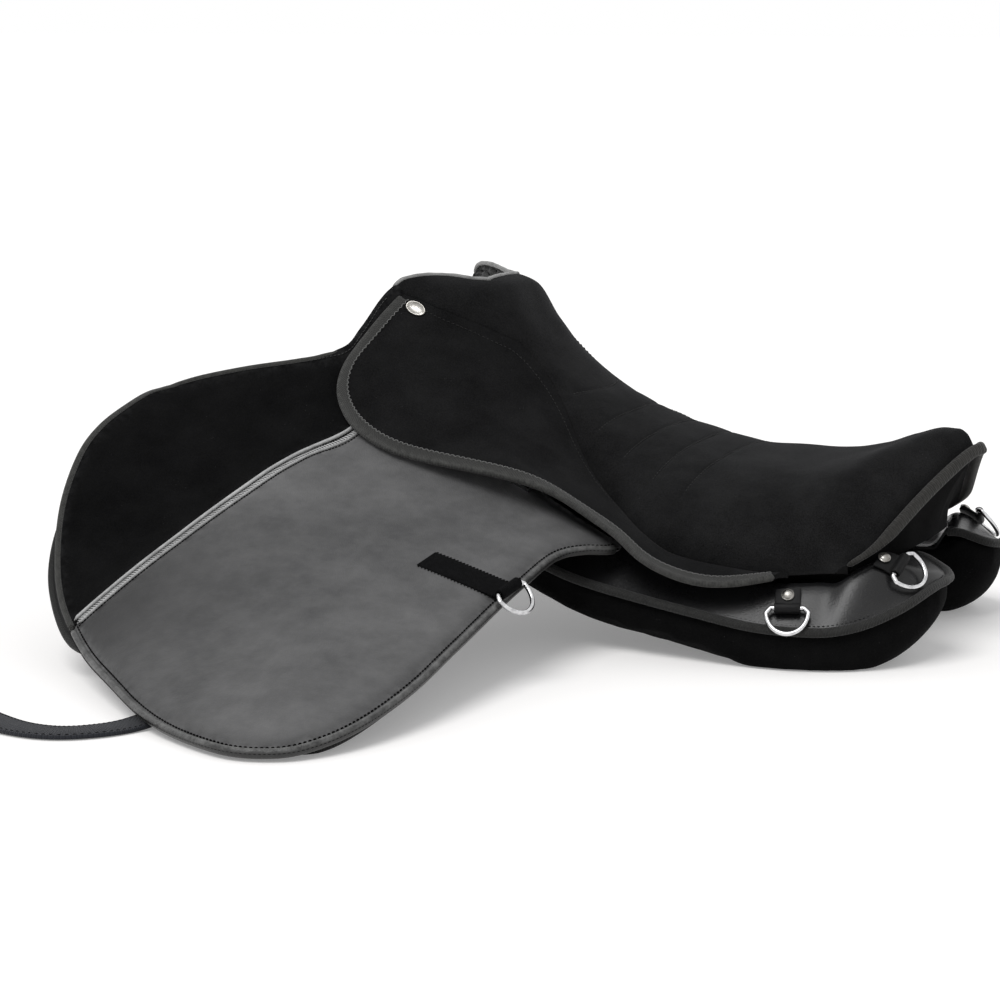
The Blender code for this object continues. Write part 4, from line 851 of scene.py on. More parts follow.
def seatSkin(u, v):
    u, v = np.broadcast_arrays(u, v)
    x, y, across, seam, crown, _ = seatPlan(u, v)
    backwards = ease(u, 0.75, 1.0)
    onSlope = ease(u, 0.04, 0.18) * (1 - ease(u, 0.45, 0.65))
    soft = seat["rimSoftness"]
    eased = (np.hypot(across, soft) - soft) / (math.hypot(1, soft) - soft)
    across = np.minimum(across + (eased - across) * backwards, 1)
    flat = 3.2 - 2.2 * backwards - 0.9 * onSlope
    rise = np.maximum(0, 1 - across**flat) ** (0.5 + 0.20 * backwards + 0.06 * onSlope)
    base = seam - seat["lip"]
    return np.stack([x, y, base + (crown - base) * rise], -1)


def deckHeight(u, v):
    across, seam, crown = seatPlan(u, v)[2:5]
    rise = seat["crownShare"] * (crown - seam) * (1 - across * across) * (1 - 0.45 * ease(u, 0.6, 1.0))
    return seam - seat["edge"] + rise


def quiltAt(centre):
    # depth of the sewn channels, with the pad swelling between them
    spots = seat["quiltFirst"] + seat["quiltPitch"] * np.arange(seat["quiltCount"])
    near = np.min(np.abs(centre[..., None] - spots), -1)
    sharp, soft = np.exp(-((near / 0.0014) ** 2)), np.exp(-((near / 0.0070) ** 2))
    return seat["quiltDepth"] * (0.70 * sharp + 0.30 * soft)


def buildSeat():
    rows, cols, wallRows = 281, 161, 7
    u = np.linspace(0, 1, rows)[:, None]
    v = np.sin(np.pi / 2 * np.linspace(-1, 1, cols))[None, :]
    skin = seatSkin(u, v)
    normals = gridNormals(skin)
    normals *= np.sign(normals[..., 2:] + 1e-9) if normals[rows // 2, cols // 2, 2] > 0 else -1
    centre = seatPlan(*np.broadcast_arrays(u, v))[5]
    depth = quiltAt(centre) * (1 - ease(np.abs(v), seat["quiltReach"] - 0.06, seat["quiltReach"] + 0.06))
    waves = 0.0003 * np.sin(skin[..., 0] * 95 + 3 * skin[..., 1] * 20) * ease(1 - np.abs(v), 0.0, 0.5)
    top = skin - normals * (depth + waves)[..., None]
    wallFoot = skin[0].copy()
    wallFoot[:, 2] = deckHeight(np.zeros(cols), v[0]) + 0.003
    share = np.linspace(0, 1, wallRows + 1)[:-1, None, None]
    outer = np.vstack([wallFoot[None] + (skin[0] - wallFoot)[None] * share, top])
    cover = seat["cover"]
    inner = outer.copy()
    inner[wallRows:] -= normals * cover
    inwards = np.stack([np.full(cols, cover), -cover * v[0], np.zeros(cols)], -1)
    inner[:wallRows + 1] = outer[:wallRows + 1] + inwards
    inner[wallRows, :, 2] -= cover / 2
    for j, inward in ((0, cover), (-1, -cover)):
        inner[wallRows + 1:, j] = outer[wallRows + 1:, j] + np.array([0, inward, 0])
    shape = slabOf(outer, inner)
    made = addPiece("seatCover", shape, "seatSuede", "saddle", ["seat_cover"], rimValues(shape), 60)


def sewQuilting():
    rows = StitchRows(0.00030)
    v = np.linspace(-seat["quiltReach"], seat["quiltReach"], 300)
    for k in range(seat["quiltCount"]):
        at = (seat["quiltFirst"] + k * seat["quiltPitch"] - seat["front"]) / (seat["back"] - seat["front"])
        line = seatSkin(np.full(300, at), v)
        ahead = seatSkin(np.full(300, at + 0.004), v)
        up = unit(np.cross(np.gradient(line, axis=0), ahead - line))
        up *= np.sign(up[150, 2])
        rows.along(line - up * (seat["quiltDepth"] - 0.0002), up, 0.0034, 0.0024)
    rows.finish("quiltStitches", "dimThread", "saddle")


rims = {
    "pipingRadius": 0.0018, "pipingOut": 0.0022, "liningGap": 0.0012, "liningThickness": 0.0007,
    "bindingWidth": 0.0088, "bindingThickness": 0.0066, "bindingOut": 0.0046, "ribPitch": 0.0019,
}


def buildHead():
    # piping round the head, and the lining that turns down inside it
    v = np.linspace(-0.998, 0.998, 320)
    rim = seatSkin(np.zeros(320), v)
    run = np.gradient(rim, axis=0)
    outward = unit(np.stack([-run[:, 1], run[:, 0], 0 * v], 1))
    path = rim + outward * rims["pipingOut"] + np.array([0, 0, 0.0004])
    wobble = 1 + 0.05 * np.sin(lengthsOf(path) * 260) + 0.04 * np.sin(lengthsOf(path) * 610 + 1)
    section = ringSection(rims["pipingRadius"], 14)[None] * wobble[:, None, None]
    shape = tubeOf(sweep(path, (0, 0, 1), section, tips=0.004))
    values = rimValues(shape, 0.5)
    addPiece("pommelPiping", shape, "pipingLeather", "saddle", ["pommel_piping"], values, 80)

    foot = rim.copy()
    foot[:, 2] = deckHeight(np.zeros(320), v) + 0.001
    share = np.linspace(0, 1, 26)[:, None, None]
    lining = rim[None] + (foot - rim)[None] * share
    run = lengthsOf(rim)[None]
    share = share[..., 0]
    folds = 0.0011 * np.sin(run * 330 + 2.2 * np.sin(run * 70)) * np.sin(np.pi * share) ** 0.6
    folds += 0.0009 * np.sin(share * 15 + run * 120) * np.sin(np.pi * share)
    lining = lining + outward[None] * (rims["liningGap"] + folds)[..., None]
    lining[..., 2] -= 0.0006
    shape = slabOf(lining, lining - outward[None] * rims["liningThickness"])
    addPiece("headLining", shape, "headLining", "saddle", (), rimValues(shape))


def buildCantle():
    # ribbed binding over the cantle's rim, and the gusset below it
    v = np.linspace(-0.975, 0.975, 420)
    rim = seatSkin(np.ones(420), v)
    run = np.gradient(rim, axis=0)
    outward = unit(np.stack([run[:, 1], -run[:, 0], 0 * v], 1))
    path = rim + outward * rims["bindingOut"]
    section = boxSection(rims["bindingWidth"], rims["bindingThickness"], 0.0029, 5)
    ribs = 1 + 0.006 * np.sin(lengthsOf(path) * 2 * math.pi / rims["ribPitch"])
    taper = 0.45 + 0.55 * ease(1 - np.abs(v), 0.02, 0.24)
    sections = section[None] * np.stack([taper, ribs], 1)[:, None]
    rings = sweep(path, unit(outward + np.array([0, 0, 0.55])), sections, tips=0.006)
    values = bandValues(rings, section, path, 0.35)
    addPiece("cantleBinding", tubeOf(rings), "cantleTape", "saddle", ["cantle_binding"], values, 80)

    v = np.linspace(-0.90, 0.90, 161)
    rear = np.ones(161)
    y = seatPlan(rear, v)[1]
    reach = seat["seamBackX"] + (seat["cantleBaseX"] - seat["seamBackX"]) * (1 - v * v)
    lowZ = deckHeight(rear, v) - 0.005 * (1 - ease(np.abs(v), 0.55, 0.88))
    low = np.stack([reach + 0.004, y, lowZ], 1)
    start = seatSkin(rear, v) - np.array([0.001, 0, seat["cover"] + 0.0035])
    share = np.linspace(0, 1, 34)[:, None, None]
    outer = start[None] + (low - start)[None] * share
    swell = np.sin(np.pi * share[..., 0])
    outer[..., 0] -= 0.004 * swell + 0.0004 * np.sin(y * 140)[None] * swell
    shape = slabOf(outer, outer - np.array([0.002, 0, 0]))
    addPiece("cantleGusset", shape, "flapSuede", "saddle", ["cantle_gusset"], rimValues(shape))


buildSeat()
sewQuilting()
buildHead()
buildCantle()
print("seat, rims and quilting built")


# skirts
skirt = {
    "gap": 0.0006, "thickness": 0.0036, "bulge": 0.0060, "turn": 0.62, "hingeReach": 0.007,
    "tapeWidth": 0.0076, "tapeThickness": 0.0046, "tapeStart": 2,
}
foldFront = np.array([-0.2205, 0.1030, 0.2065])
foldRear = np.array([0.0120, 0.1610, 0.0875])
skirtEdge = np.array([
    (-0.2205, 0.1030, 0.2065), (-0.2269, 0.1180, 0.1904), (-0.2254, 0.1320, 0.1748), (-0.2161, 0.1430, 0.1618),
    (-0.1996, 0.1550, 0.1503), (-0.1739, 0.1630, 0.1392), (-0.1450, 0.1650, 0.1326), (-0.1031, 0.1650, 0.1276),
    (-0.0750, 0.1640, 0.1240), (-0.0515, 0.1600, 0.1183), (-0.0321, 0.1580, 0.1108), (-0.0090, 0.1590, 0.0985),
    (0.0120, 0.1610, 0.0875), (0.0328, 0.1680, 0.0735), (0.0570, 0.1690, 0.0640), (0.0800, 0.1660, 0.0595),
    (0.1030, 0.1600, 0.0610), (0.1250, 0.1470, 0.0650),
])


def skirtInner(t):
    x = -0.2005 + 0.3300 * t
    return np.stack([x, halfWidth(x) + skirt["gap"], seamHeight(x) - seat["lip"]], -1)


def skirtGrid(rows, cols):
    # middle of the skirt from the seat over the fold to the free edge, and its unit normals
    front = spread(skirtEdge[:13], 0.0015)
    rear = spread(skirtEdge[12:], 0.0015)
    t = np.linspace(0, 1, rows)
    inner = skirtInner(t)
    share = np.clip(t / skirt["turn"], 0, 1)
    crease = foldFront + (foldRear - foldFront) * share[:, None]
    late = np.clip((t - skirt["turn"]) / (1 - skirt["turn"]), 0, 1)
    edge = pickAt(share, np.linspace(0, 1, len(front)), front)
    behind = pickAt(late, np.linspace(0, 1, len(rear)), rear)
    after = t > skirt["turn"]
    edge[after] = behind[after]
    crease[after] = behind[after]
    firstRun = np.linalg.norm(crease - inner, axis=1)
    secondRun = np.linalg.norm(edge - crease, axis=1)
    total = firstRun + secondRun
    q = np.linspace(0, 1, cols)[None, :]
    atCrease = (firstRun / total)[:, None]
    one = np.clip(q / atCrease, 0, 1)[..., None]
    two = np.clip((q - atCrease) / np.maximum(1 - atCrease, 1e-6), 0, 1)[..., None]
    grid = inner[:, None] + (crease - inner)[:, None] * one + (edge - crease)[:, None] * two
    bulge = np.minimum(1, secondRun / 0.03)[:, None] * skirt["bulge"] * 2.4
    grid[..., 2] += 0.25 * skirt["bulge"] * 4 * one[..., 0] * (1 - one[..., 0])
    grid[..., 2] += bulge * two[..., 0] * (1 - two[..., 0])
    relaxGrid(grid, 14)
    up = gridNormals(grid)
    up *= np.sign(up[rows // 2, cols // 2, 2])
    return grid, up


def skirtTapeRings(grid, up):
    # binding up the front edge, round the free edge and back to the seat
    first = skirt["tapeStart"]
    path = np.vstack([grid[0, first:], grid[1:, -1]])
    inner = np.vstack([grid[8, first:], grid[1:, -9]])
    ups = np.vstack([up[4, first:], up[1:, -5]])
    run = lengthsOf(path)
    goals = np.linspace(0, run[-1], int(run[-1] / 0.0016))
    path, inner, ups = (pickAt(goals, run, q) for q in (path, inner, ups))
    inward = inner - path
    for line in (path, inward, ups):
        relax(line, 40)
    ahead = unit(np.gradient(path, axis=0))
    inward = squareTo(ahead, inward)
    ups = squareTo(ahead, ups)
    steps = np.linspace(0, skirt["tapeWidth"], 7)
    laid = path[:, None] + inward[:, None] * steps[None, :, None]
    flatGrid = grid.reshape(-1, 3)
    flatUps = up.reshape(-1, 3)
    tree = KDTree(len(flatGrid))
    for k, spot in enumerate(flatGrid):
        tree.insert(spot, k)
    tree.balance()
    for row in laid:
        for spot in row[1:]:
            near = tree.find(spot)[1]
            spot -= flatUps[near] * ((spot - flatGrid[near]) @ flatUps[near])
    relax(laid, 12)
    high = skirt["tapeThickness"] / 2
    lipTurn = np.radians(np.arange(75, -76, -15))
    lip = path[:, None] - inward[:, None] * (high * 0.8 * np.cos(lipTurn))[None, :, None]
    lip = lip + ups[:, None] * (high * np.sin(lipTurn))[None, :, None]
    top = laid + ups[:, None] * high
    rings = np.concatenate([top[:, ::-1], lip, laid - ups[:, None] * high], 1)
    run = lengthsOf(path)
    near = np.clip(np.minimum(run, run[-1] - run) / 0.003, 0, 1)
    size = np.sqrt(1 - (1 - near) ** 2)[:, None, None] * 0.9 + 0.1
    middle = rings.mean(1, keepdims=True)
    rings = middle + (rings - middle) * size
    across = np.concatenate([steps[::-1], 0 * lipTurn, steps])
    values = bandValues(rings, across[:, None], path, 0.5 * np.exp(-((across / 0.0025) ** 2)))
    return rings, values, top[:, -1], ups


def buildSkirt(name, side):
    mirror = np.array([1, side, 1])
    bend = ("saddle", "skirt_" + name, *hingeSpan("skirt_lift_" + name, side, skirt["hingeReach"]))
    grid, up = skirtGrid(200, 70)
    half = skirt["thickness"] / 2
    shape = slabOf(((grid + up * half) * mirror)[1:, :-2], ((grid - up * half) * mirror)[1:, :-2])
    replaced = ["skirt_top_" + name, "skirt_fold_" + name]
    addPiece("skirtPanel_" + name, shape, "skirtSuede", bend, replaced, rimValues(shape))
    rings, values, inside, ups = skirtTapeRings(grid, up)
    replaced = ["skirt_binding_" + name]
    addPiece("skirtTape_" + name, tubeOf(rings * mirror), "skirtTape", bend, replaced, values, 50)
    sewn = StitchRows(0.00042)
    sewn.along(inside * mirror, ups * mirror, 0.0021, 0.0026, (38, -38), 0.0, 0.0004)
    sewn.finish("skirtTapeStitches_" + name, "paleThread", bend)
    sewn = StitchRows(0.00028)
    seam = grid[8:150, 5] + up[8:150, 5] * (half + 0.0001)
    sewn.along(seam * mirror, up[8:150, 5] * mirror, 0.0036, 0.0022)
    sewn.finish("skirtSeamStitches_" + name, "dimThread", bend)


bothSides(buildSkirt)
print("skirts built")


# flaps
flap = {
    "floor": 0.0030, "belly": 0.15, "thickness": 0.0040, "rounding": 0.0016, "soften": 0.0090,
    "hingeReach": 0.012,
    "tapeWidth": 0.0054, "tapeThickness": 0.0054, "rollWidth": 0.0052, "rollThickness": 0.0058,
    "sheetPuff": 0.0022, "puffFrom": 0.0075, "puffWidth": 0.016, "edgeShadeWidth": 0.010, "cornerShade": 0.095,
    "tongueFrom": 0.108, "tongueRise": 0.048, "tongueSlope": 1.15, "tongueEnd": (-0.197, -0.186),
    "head": (-0.2120, 0.0765), "tail": (0.0075, 0.1460), "weltFrom": 0.135, "cordAt": 0.0028, "ridgeAt": 0.0022,
}
flapFoldFront = np.array([-0.3540, 0.1658, 0.1717])
flapFoldRear = np.array([0.0320, 0.1780, 0.0650])
footLine = through([
    (-0.40, 0.375), (-0.36, 0.392), (-0.30, 0.415), (-0.21, 0.474), (-0.15, 0.498), (-0.10, 0.516),
    (-0.05, 0.500), (0.00, 0.470), (0.06, 0.440),
])
innerSlope = through([(-0.24, 0.90), (-0.216, 0.76), (-0.18, 0.78), (-0.11, 0.55), (-0.05, 0.25), (0.00, 0.10)])
frontRise = through([(-0.40, 0.045), (-0.348, 0.020), (-0.30, 0.006), (-0.20, 0.0)])
flapOutline = np.array([
    (-0.2370, 0.1042), (-0.2660, 0.1188), (-0.3016, 0.1350), (-0.3350, 0.1526), (-0.3495, 0.1640),
    (-0.3590, 0.1795), (-0.3640, 0.2080), (-0.3680, 0.2380), (-0.3680, 0.2650), (-0.3610, 0.2980),
    (-0.3470, 0.3270), (-0.3280, 0.3530), (-0.2990, 0.3800), (-0.2520, 0.4210), (-0.1970, 0.4650),
    (-0.1500, 0.4930), (-0.1040, 0.5110), (-0.0720, 0.5050), (-0.0510, 0.4850), (-0.0360, 0.4520),
    (-0.0265, 0.4010), (-0.0245, 0.3470), (-0.0240, 0.2860), (-0.0220, 0.2415), (-0.0190, 0.1966),
    (-0.0080, 0.1730), (0.0050, 0.1560), (0.0060, 0.1400), (-0.0180, 0.1330), (-0.0600, 0.1240),
    (-0.1100, 0.1160), (-0.1600, 0.1100), (-0.1850, 0.1040), (-0.1905, 0.0885), (-0.1970, 0.0745),
    (-0.2065, 0.0720), (-0.2115, 0.0742), (-0.2180, 0.0803), (-0.2270, 0.0930),
])
flapSeam = np.array([
    (-0.1860, 0.1080), (-0.1930, 0.1300), (-0.2040, 0.1530), (-0.2220, 0.1757), (-0.2337, 0.2071),
    (-0.2428, 0.2405), (-0.2527, 0.2726), (-0.2629, 0.3018), (-0.2751, 0.3281), (-0.2879, 0.3515),
    (-0.3020, 0.3740),
])


def flapRaw(x, y):
    t = (x - flapFoldFront[0]) / (flapFoldRear[0] - flapFoldFront[0])
    ridgeY = flapFoldFront[1] + t * (flapFoldRear[1] - flapFoldFront[1])
    ridgeZ = flapFoldFront[2] + t * (flapFoldRear[2] - flapFoldFront[2])
    share = (y - ridgeY) / (footLine(x) - ridgeY)
    rise = (ridgeZ - flap["floor"]) * (1 - share) * (1 + flap["belly"] * share)
    outside = flap["floor"] + rise + 4 * frontRise(x) * share * (1 - share)
    outside = np.where(share > 1, flap["floor"], outside)
    tongue = np.clip((flap["tongueFrom"] - y) * flap["tongueSlope"], 0, flap["tongueRise"])
    tongue = tongue * (1 - ease(x, *flap["tongueEnd"]))
    return np.where(y < ridgeY, ridgeZ + innerSlope(x) * (ridgeY - y) + tongue, outside)


def flapHeight(x, y):
    total = 2 * flapRaw(x, y)
    for k in range(8):
        a = math.pi / 4 * k
        total = total + flapRaw(x + flap["soften"] * math.cos(a), y + flap["soften"] * math.sin(a))
    wave = 0.0009 * np.sin(x * 31 + y * 17) * np.sin(y * 24 - x * 9 + 1.0)
    return total / 10 + wave * ease(y, 0.19, 0.26) * (1 - ease(y, 0.40, 0.46))


def flapFrame(x, y, lower=0.0):
    # middle of the sheet, or a surface below it, and the unit normals
    middle, normal = frameOn(flapHeight, 0.004, x, y)
    return middle - normal * lower, normal


def flapLine(line, lift):
    middle, normal = flapFrame(line[:, 0], line[:, 1])
    return middle + normal * lift, normal


def nearestTo(line, spot):
    return int(np.argmin(np.linalg.norm(line - np.array(spot), axis=1)))


def splitFlap():
    # outline, seam, the seam's direction towards the suede, and the outlines of both parts
    edge = spread(flapOutline, 0.0025, closed=True)
    seam = spread(flapSeam, 0.0025)
    first = nearestTo(edge, seam[0])
    last = nearestTo(edge, seam[-1])
    seam = seam[1:-1]
    away = unit(np.gradient(seam, axis=0))
    away = np.stack([away[:, 1], -away[:, 0]], 1)
    if away[0][0] > 0:
        away = -away
    loop = np.roll(edge, -first, axis=0)
    end = (last - first) % len(edge)
    one, two = loop[1:end], loop[end + 1:]
    onSuede, onLeather = seam + away * 0.0002, seam - away * 0.0002
    if one[:, 0].mean() > two[:, 0].mean():
        return edge, seam, away, np.vstack([two, onSuede]), np.vstack([one, onLeather[::-1]])
    return edge, seam, away, np.vstack([one, onSuede[::-1]]), np.vstack([two, onLeather])


def sewWelt(name, mirror, bend, seam, away):
    # twin welt along the seam: a smooth cord, a dark gap and a sewn ridge
    keep = seam[:, 1] > flap["weltFrom"]
    seam = seam[keep]
    away = away[keep]
    half = flap["thickness"] / 2
    parts = []
    for offset, section in (
            (flap["cordAt"], ringSection(0.0014, 10, 0.0017)),
            (-flap["ridgeAt"], ringSection(0.0023, 12, 0.0016))):
        line, up = flapLine(seam + away * offset, half + 0.0008)
        parts.append(tubeOf(sweep(line * mirror, up * mirror, section, tips=0.002)))
    shape = fromPieces(parts)
    values = rimValues(shape, 0.4)
    addPiece("flapWelt_" + name, shape, "weltLeather", bend, ["flap_seam_" + name], values, 80)
    sewn = StitchRows(0.00038)
    for offset, lift, pitch, length, slant, arch in (
            (-flap["ridgeAt"], 0.0022, 0.0022, 0.0034, 58, 0.0002),
            (-0.0050, 0.0003, 0.0026, 0.0020, 0, 0.0003),
            (0.0004, 0.0004, 0.0030, 0.0031, 0, 0.0003)):
        line, up = flapLine(seam + away * offset, half + lift)
        sewn.along(line * mirror, up * mirror, pitch, length, slant, 0.0, arch)
    sewn.finish("flapWeltStitches_" + name, "blackThread", bend)


def bindFlap(name, mirror, bend, edge):
    # woven tape along the suede, rolled leather along the leather
    head, corner, tail = (nearestTo(edge, spot) for spot in (flap["head"], flapSeam[-1], flap["tail"]))
    if (corner - head) % len(edge) >= len(edge) / 2:
        edge = edge[::-1]
        head, corner, tail = (len(edge) - 1 - q for q in (head, corner, tail))
    loop = np.roll(edge, -head, axis=0)
    corner = (corner - head) % len(edge)
    tail = (tail - head) % len(edge)
    inward = unit(insetOutline(loop, 0.001) - loop)
    half = flap["thickness"] / 2
    for onLeather, low, high in ((False, 0, corner + 1), (True, corner + 1, tail)):
        line = loop[low:high]
        inner = inward[low:high]
        kind = "roll" if onLeather else "tape"
        width, tall = flap[kind + "Width"], flap[kind + "Thickness"]
        centre, up = flapLine(line + inner * (width / 2 - 0.0012), 0.0004 if onLeather else 0.0)
        if onLeather:
            label, look, slotName, thread = "flapRoll", "rollLeather", "leather", "blackThread"
            section = ringSection(width / 2, 18, tall / 2 + 0.0006)
            narrow = np.ones(len(centre))
        else:
            label, look, slotName, thread = "flapTape", "flapTape", "tape", "greyThread"
            section = boxSection(width, tall, 0.0022, 4)
            narrow = 0.45 + 0.55 * ease(lengthsOf(centre), 0.03, 0.09)
        rings = sweep(centre * mirror, up * mirror, section[None] * narrow[:, None, None], tips=0.002)
        # the upper part of the binding is marked in rim: rubbed wear, and on the roll also a painted highlight
        # along its ridge
        values = bandValues(rings, section, centre, (section[:, 1] > tall * 0.3) * 0.5)
        # painted shade: the outer side of the roll is darkened
        outwards = (rings - (centre * mirror)[:, None])[..., :2] * (-inner * mirror[:2])[:, None]
        values["paintedShade"] = np.clip(np.sum(outwards, -1) / (width / 2) * 1.6 - 0.3, 0, 1)
        replaced = ["flap_binding_" + name]
        addPiece(label + "_" + name, tubeOf(rings), look, bend, replaced, values, 80)
        sewn = StitchRows(0.00060 if onLeather else 0.00032)
        reach, lift, pitch = (-0.0004, 0.0005, 0.0034) if onLeather else (-0.0022, 0.0006, 0.0030)
        top, up = flapLine(line + inner * (width + reach), half + lift)
        sewn.along(top * mirror, up * mirror, pitch, 0.0022)
        if onLeather:
            lip, up = flapLine(line - inner * 0.0006, 0.0012)
            sewn.along(lip * mirror, up * mirror, 0.0030, 0.0026)
        sewn.finish(label + "Stitches_" + name, thread, bend)


def buildFlap(name, side):
    mirror = np.array([1, side, 1])
    bend = ("saddle", "flap_" + name, *hingeSpan("flap_lift_" + name, side, flap["hingeReach"]))
    edge, seam, away, suedePart, leatherPart = splitFlap()
    sheet = (side, flap["thickness"], flap["rounding"])
    shape, values = sheetOf(suedePart, flapFrame, *sheet, 0.0045)
    addPiece("flapSuede_" + name, shape, "flapSuede", bend, ["flap_suede_" + name], values, 70)
    shape, values = sheetOf(leatherPart, flapFrame, *sheet, 0.0036, puff=flap["sheetPuff"], freeEdge=edge)
    replaced = ["flap_leather_" + name, "flap_root_" + name]
    addPiece("flapLeather_" + name, shape, "flapLeather", bend, replaced, values, 70)
    sewWelt(name, mirror, bend, seam, away)
    bindFlap(name, mirror, bend, edge)


bothSides(buildFlap)
print("flaps built")


# sweat flaps and girth straps
under = {
    "layerGap": 0.0012, "sweatThickness": 0.0030, "bindingWidth": 0.0055, "bindingThickness": 0.0042,
    "strapThickness": 0.0030, "strapWidth": 0.0250, "strapEnd": 0.016, "stitchInset": 0.0024,
}
strapDrop = flap["thickness"] / 2 + under["layerGap"] + under["strapThickness"] / 2
sweatDrop = strapDrop + under["strapThickness"] / 2 + under["layerGap"] + under["sweatThickness"] / 2
sweatOutline = [
    (-0.3350, 0.1860), (-0.3500, 0.2150), (-0.3580, 0.2500), (-0.3610, 0.2900), (-0.3555, 0.3250),
    (-0.3390, 0.3520), (-0.3040, 0.3820), (-0.2620, 0.3950), (-0.2150, 0.3980), (-0.1640, 0.3940),
    (-0.1300, 0.4380), (-0.1030, 0.4980), (-0.0710, 0.4900), (-0.0500, 0.4700), (-0.0380, 0.4300),
    (-0.0320, 0.3800), (-0.0300, 0.3000), (-0.0280, 0.2400), (-0.0260, 0.1900), (-0.0300, 0.1700),
    (-0.1000, 0.1690), (-0.2000, 0.1690), (-0.2900, 0.1710),
]
straps = {
    "front": [
        (-0.0650, 0.1700, None), (-0.0850, 0.2300, None), (-0.1150, 0.3100, None), (-0.1450, 0.3750, None),
        (-0.1650, 0.4150, None), (-0.1790, 0.4420, 0.0095), (-0.1930, 0.4690, 0.0022),
        (-0.2070, 0.4930, 0.0018), (-0.2280, 0.5080, 0.0018), (-0.2560, 0.5090, 0.0018),
        (-0.2860, 0.4980, 0.0018), (-0.3150, 0.4820, 0.0018),
    ],
    "rear": [
        (-0.0320, 0.1700, None), (-0.0460, 0.2300, None), (-0.0750, 0.3100, None), (-0.0950, 0.3700, None),
        (-0.1100, 0.4200, None), (-0.1180, 0.4520, None),
    ],
}


def sweatFrame(x, y):
    middle, normal = flapFrame(x, y, sweatDrop)
    middle[..., 2] = np.maximum(middle[..., 2], 0.0017)  # stays above the floor
    return middle, normal


def buildSweatFlap(name, side):
    mirror = np.array([1, side, 1])
    outline = spread(sweatOutline, 0.004, closed=True)
    shape, values = sheetOf(outline, sweatFrame, side, under["sweatThickness"], 0.0012, 0.008, (0.0008, 0.0020))
    shape[0][:, 2] = np.maximum(shape[0][:, 2], 0.0001)
    replaced = ["sweat_flap_" + name]
    addPiece("sweatFlap_" + name, shape, "underLeather", "saddle", replaced, values, 70)
    edge = insetOutline(outline, 0.0018)
    middle, normal = sweatFrame(edge[:, 0], edge[:, 1])
    middle[:, 2] = np.maximum(middle[:, 2], 0.0023)
    section = boxSection(under["bindingWidth"], under["bindingThickness"], 0.0018, 3)
    rings = sweep(middle * mirror, normal * mirror, section, closed=True)
    values = bandValues(rings, section, middle)
    addPiece("sweatBinding_" + name, tubeOf(rings, True), "panelTape", "saddle", (), values, 80)


def buildStraps(name, side):
    # each strap lies under the flap where its route gives no height, and on the floor beyond
    mirror = np.array([1, side, 1])
    for which, route in straps.items():
        knots = []
        for x, y, z in route:
            middle, _ = flapFrame(np.array([x]), np.array([y]), strapDrop)
            knots.append(middle[0] if z is None else np.array([x, y, z]))
        path = spread(knots, 0.0025, 10)
        _, normal = flapFrame(path[:, 0], path[:, 1])
        level = ease(path[:, 2], 0.004, 0.012)[:, None]
        ups = normal * level + np.array([0, 0, 1.0]) * (1 - level)
        section = boxSection(under["strapWidth"], under["strapThickness"], 0.0012, 3)
        run = lengthsOf(path)
        left = np.clip((run[-1] - run) / under["strapEnd"], 0, 1)
        taper = np.where(run > run[-1] - under["strapEnd"], np.sqrt(left) * 0.88 + 0.12, 1.0)
        sections = section[None] * np.stack([taper, np.ones_like(taper)], 1)[:, None]
        rings = sweep(path * mirror, ups * mirror, sections)
        values = bandValues(rings, section, path)
        tag = which + "_" + name
        replaced = ["billet_" + tag]
        addPiece("girthStrap_" + tag, tubeOf(rings), "strapNylon", "saddle", replaced, values, 50)
        sewn = StitchRows(0.00030)
        keep = run < run[-1] - under["strapEnd"] - 0.002
        line = (path * mirror)[keep] + unit(ups * mirror)[keep] * under["strapThickness"] / 2
        inset = under["strapWidth"] / 2 - under["stitchInset"]
        for edgeSide in (-1, 1):
            sewn.along(line, (ups * mirror)[keep], 0.0040, 0.0026, 0.0, edgeSide * inset)
        sewn.finish("strapStitches_" + tag, "blackThread", "saddle")


bothSides(buildSweatFlap, buildStraps)
print("sweat flaps and straps built")


# panels
panel = {
    "front": -0.205, "turnX": 0.118, "back": 0.226, "shoulder": 0.0100,
    "stack": 0.0060 + 0.0015 + 0.010 + 0.0010 + 0.0030 + 0.0075,  # seat edge, gap, tree, gap, head plate, gap
    "treeReach": 0.88 * math.sin(math.pi / 3),  # the tree's edge as a share of the seat's half width
    "leather": 0.0020, "tapeWidth": 0.0066, "tapeThickness": 0.0062, "tipX": 0.2272,
    "voxel": 0.0045, "cap": 0.006,
}
panelStations = [
    (-0.205, 0.050, 0.128, 0.1360), (-0.180, 0.043, 0.140, 0.1200), (-0.140, 0.034, 0.146, 0.1050),
    (-0.100, 0.030, 0.150, 0.0860), (-0.060, 0.034, 0.154, 0.0640), (-0.017, 0.040, 0.158, 0.0500),
    (0.025, 0.040, 0.161, 0.0430), (0.075, 0.040, 0.162, 0.0350), (0.118, 0.040, 0.160, 0.0285),
    (0.160, 0.042, 0.150, 0.0270), (0.180, 0.044, 0.140, 0.0295), (0.197, 0.047, 0.128, 0.0370),
    (0.211, 0.051, 0.115, 0.0460), (0.221, 0.056, 0.099, 0.0550), (0.226, 0.062, 0.086, 0.0590),
]
rearHeight = through([
    (0.150, 0.0680), (0.160, 0.0705), (0.176, 0.0735), (0.190, 0.0735), (0.200, 0.0700), (0.214, 0.0640),
    (0.226, 0.0590),
])
panelInner, panelOuter, panelEdge = (through(panelStations, k) for k in (1, 2, 3))


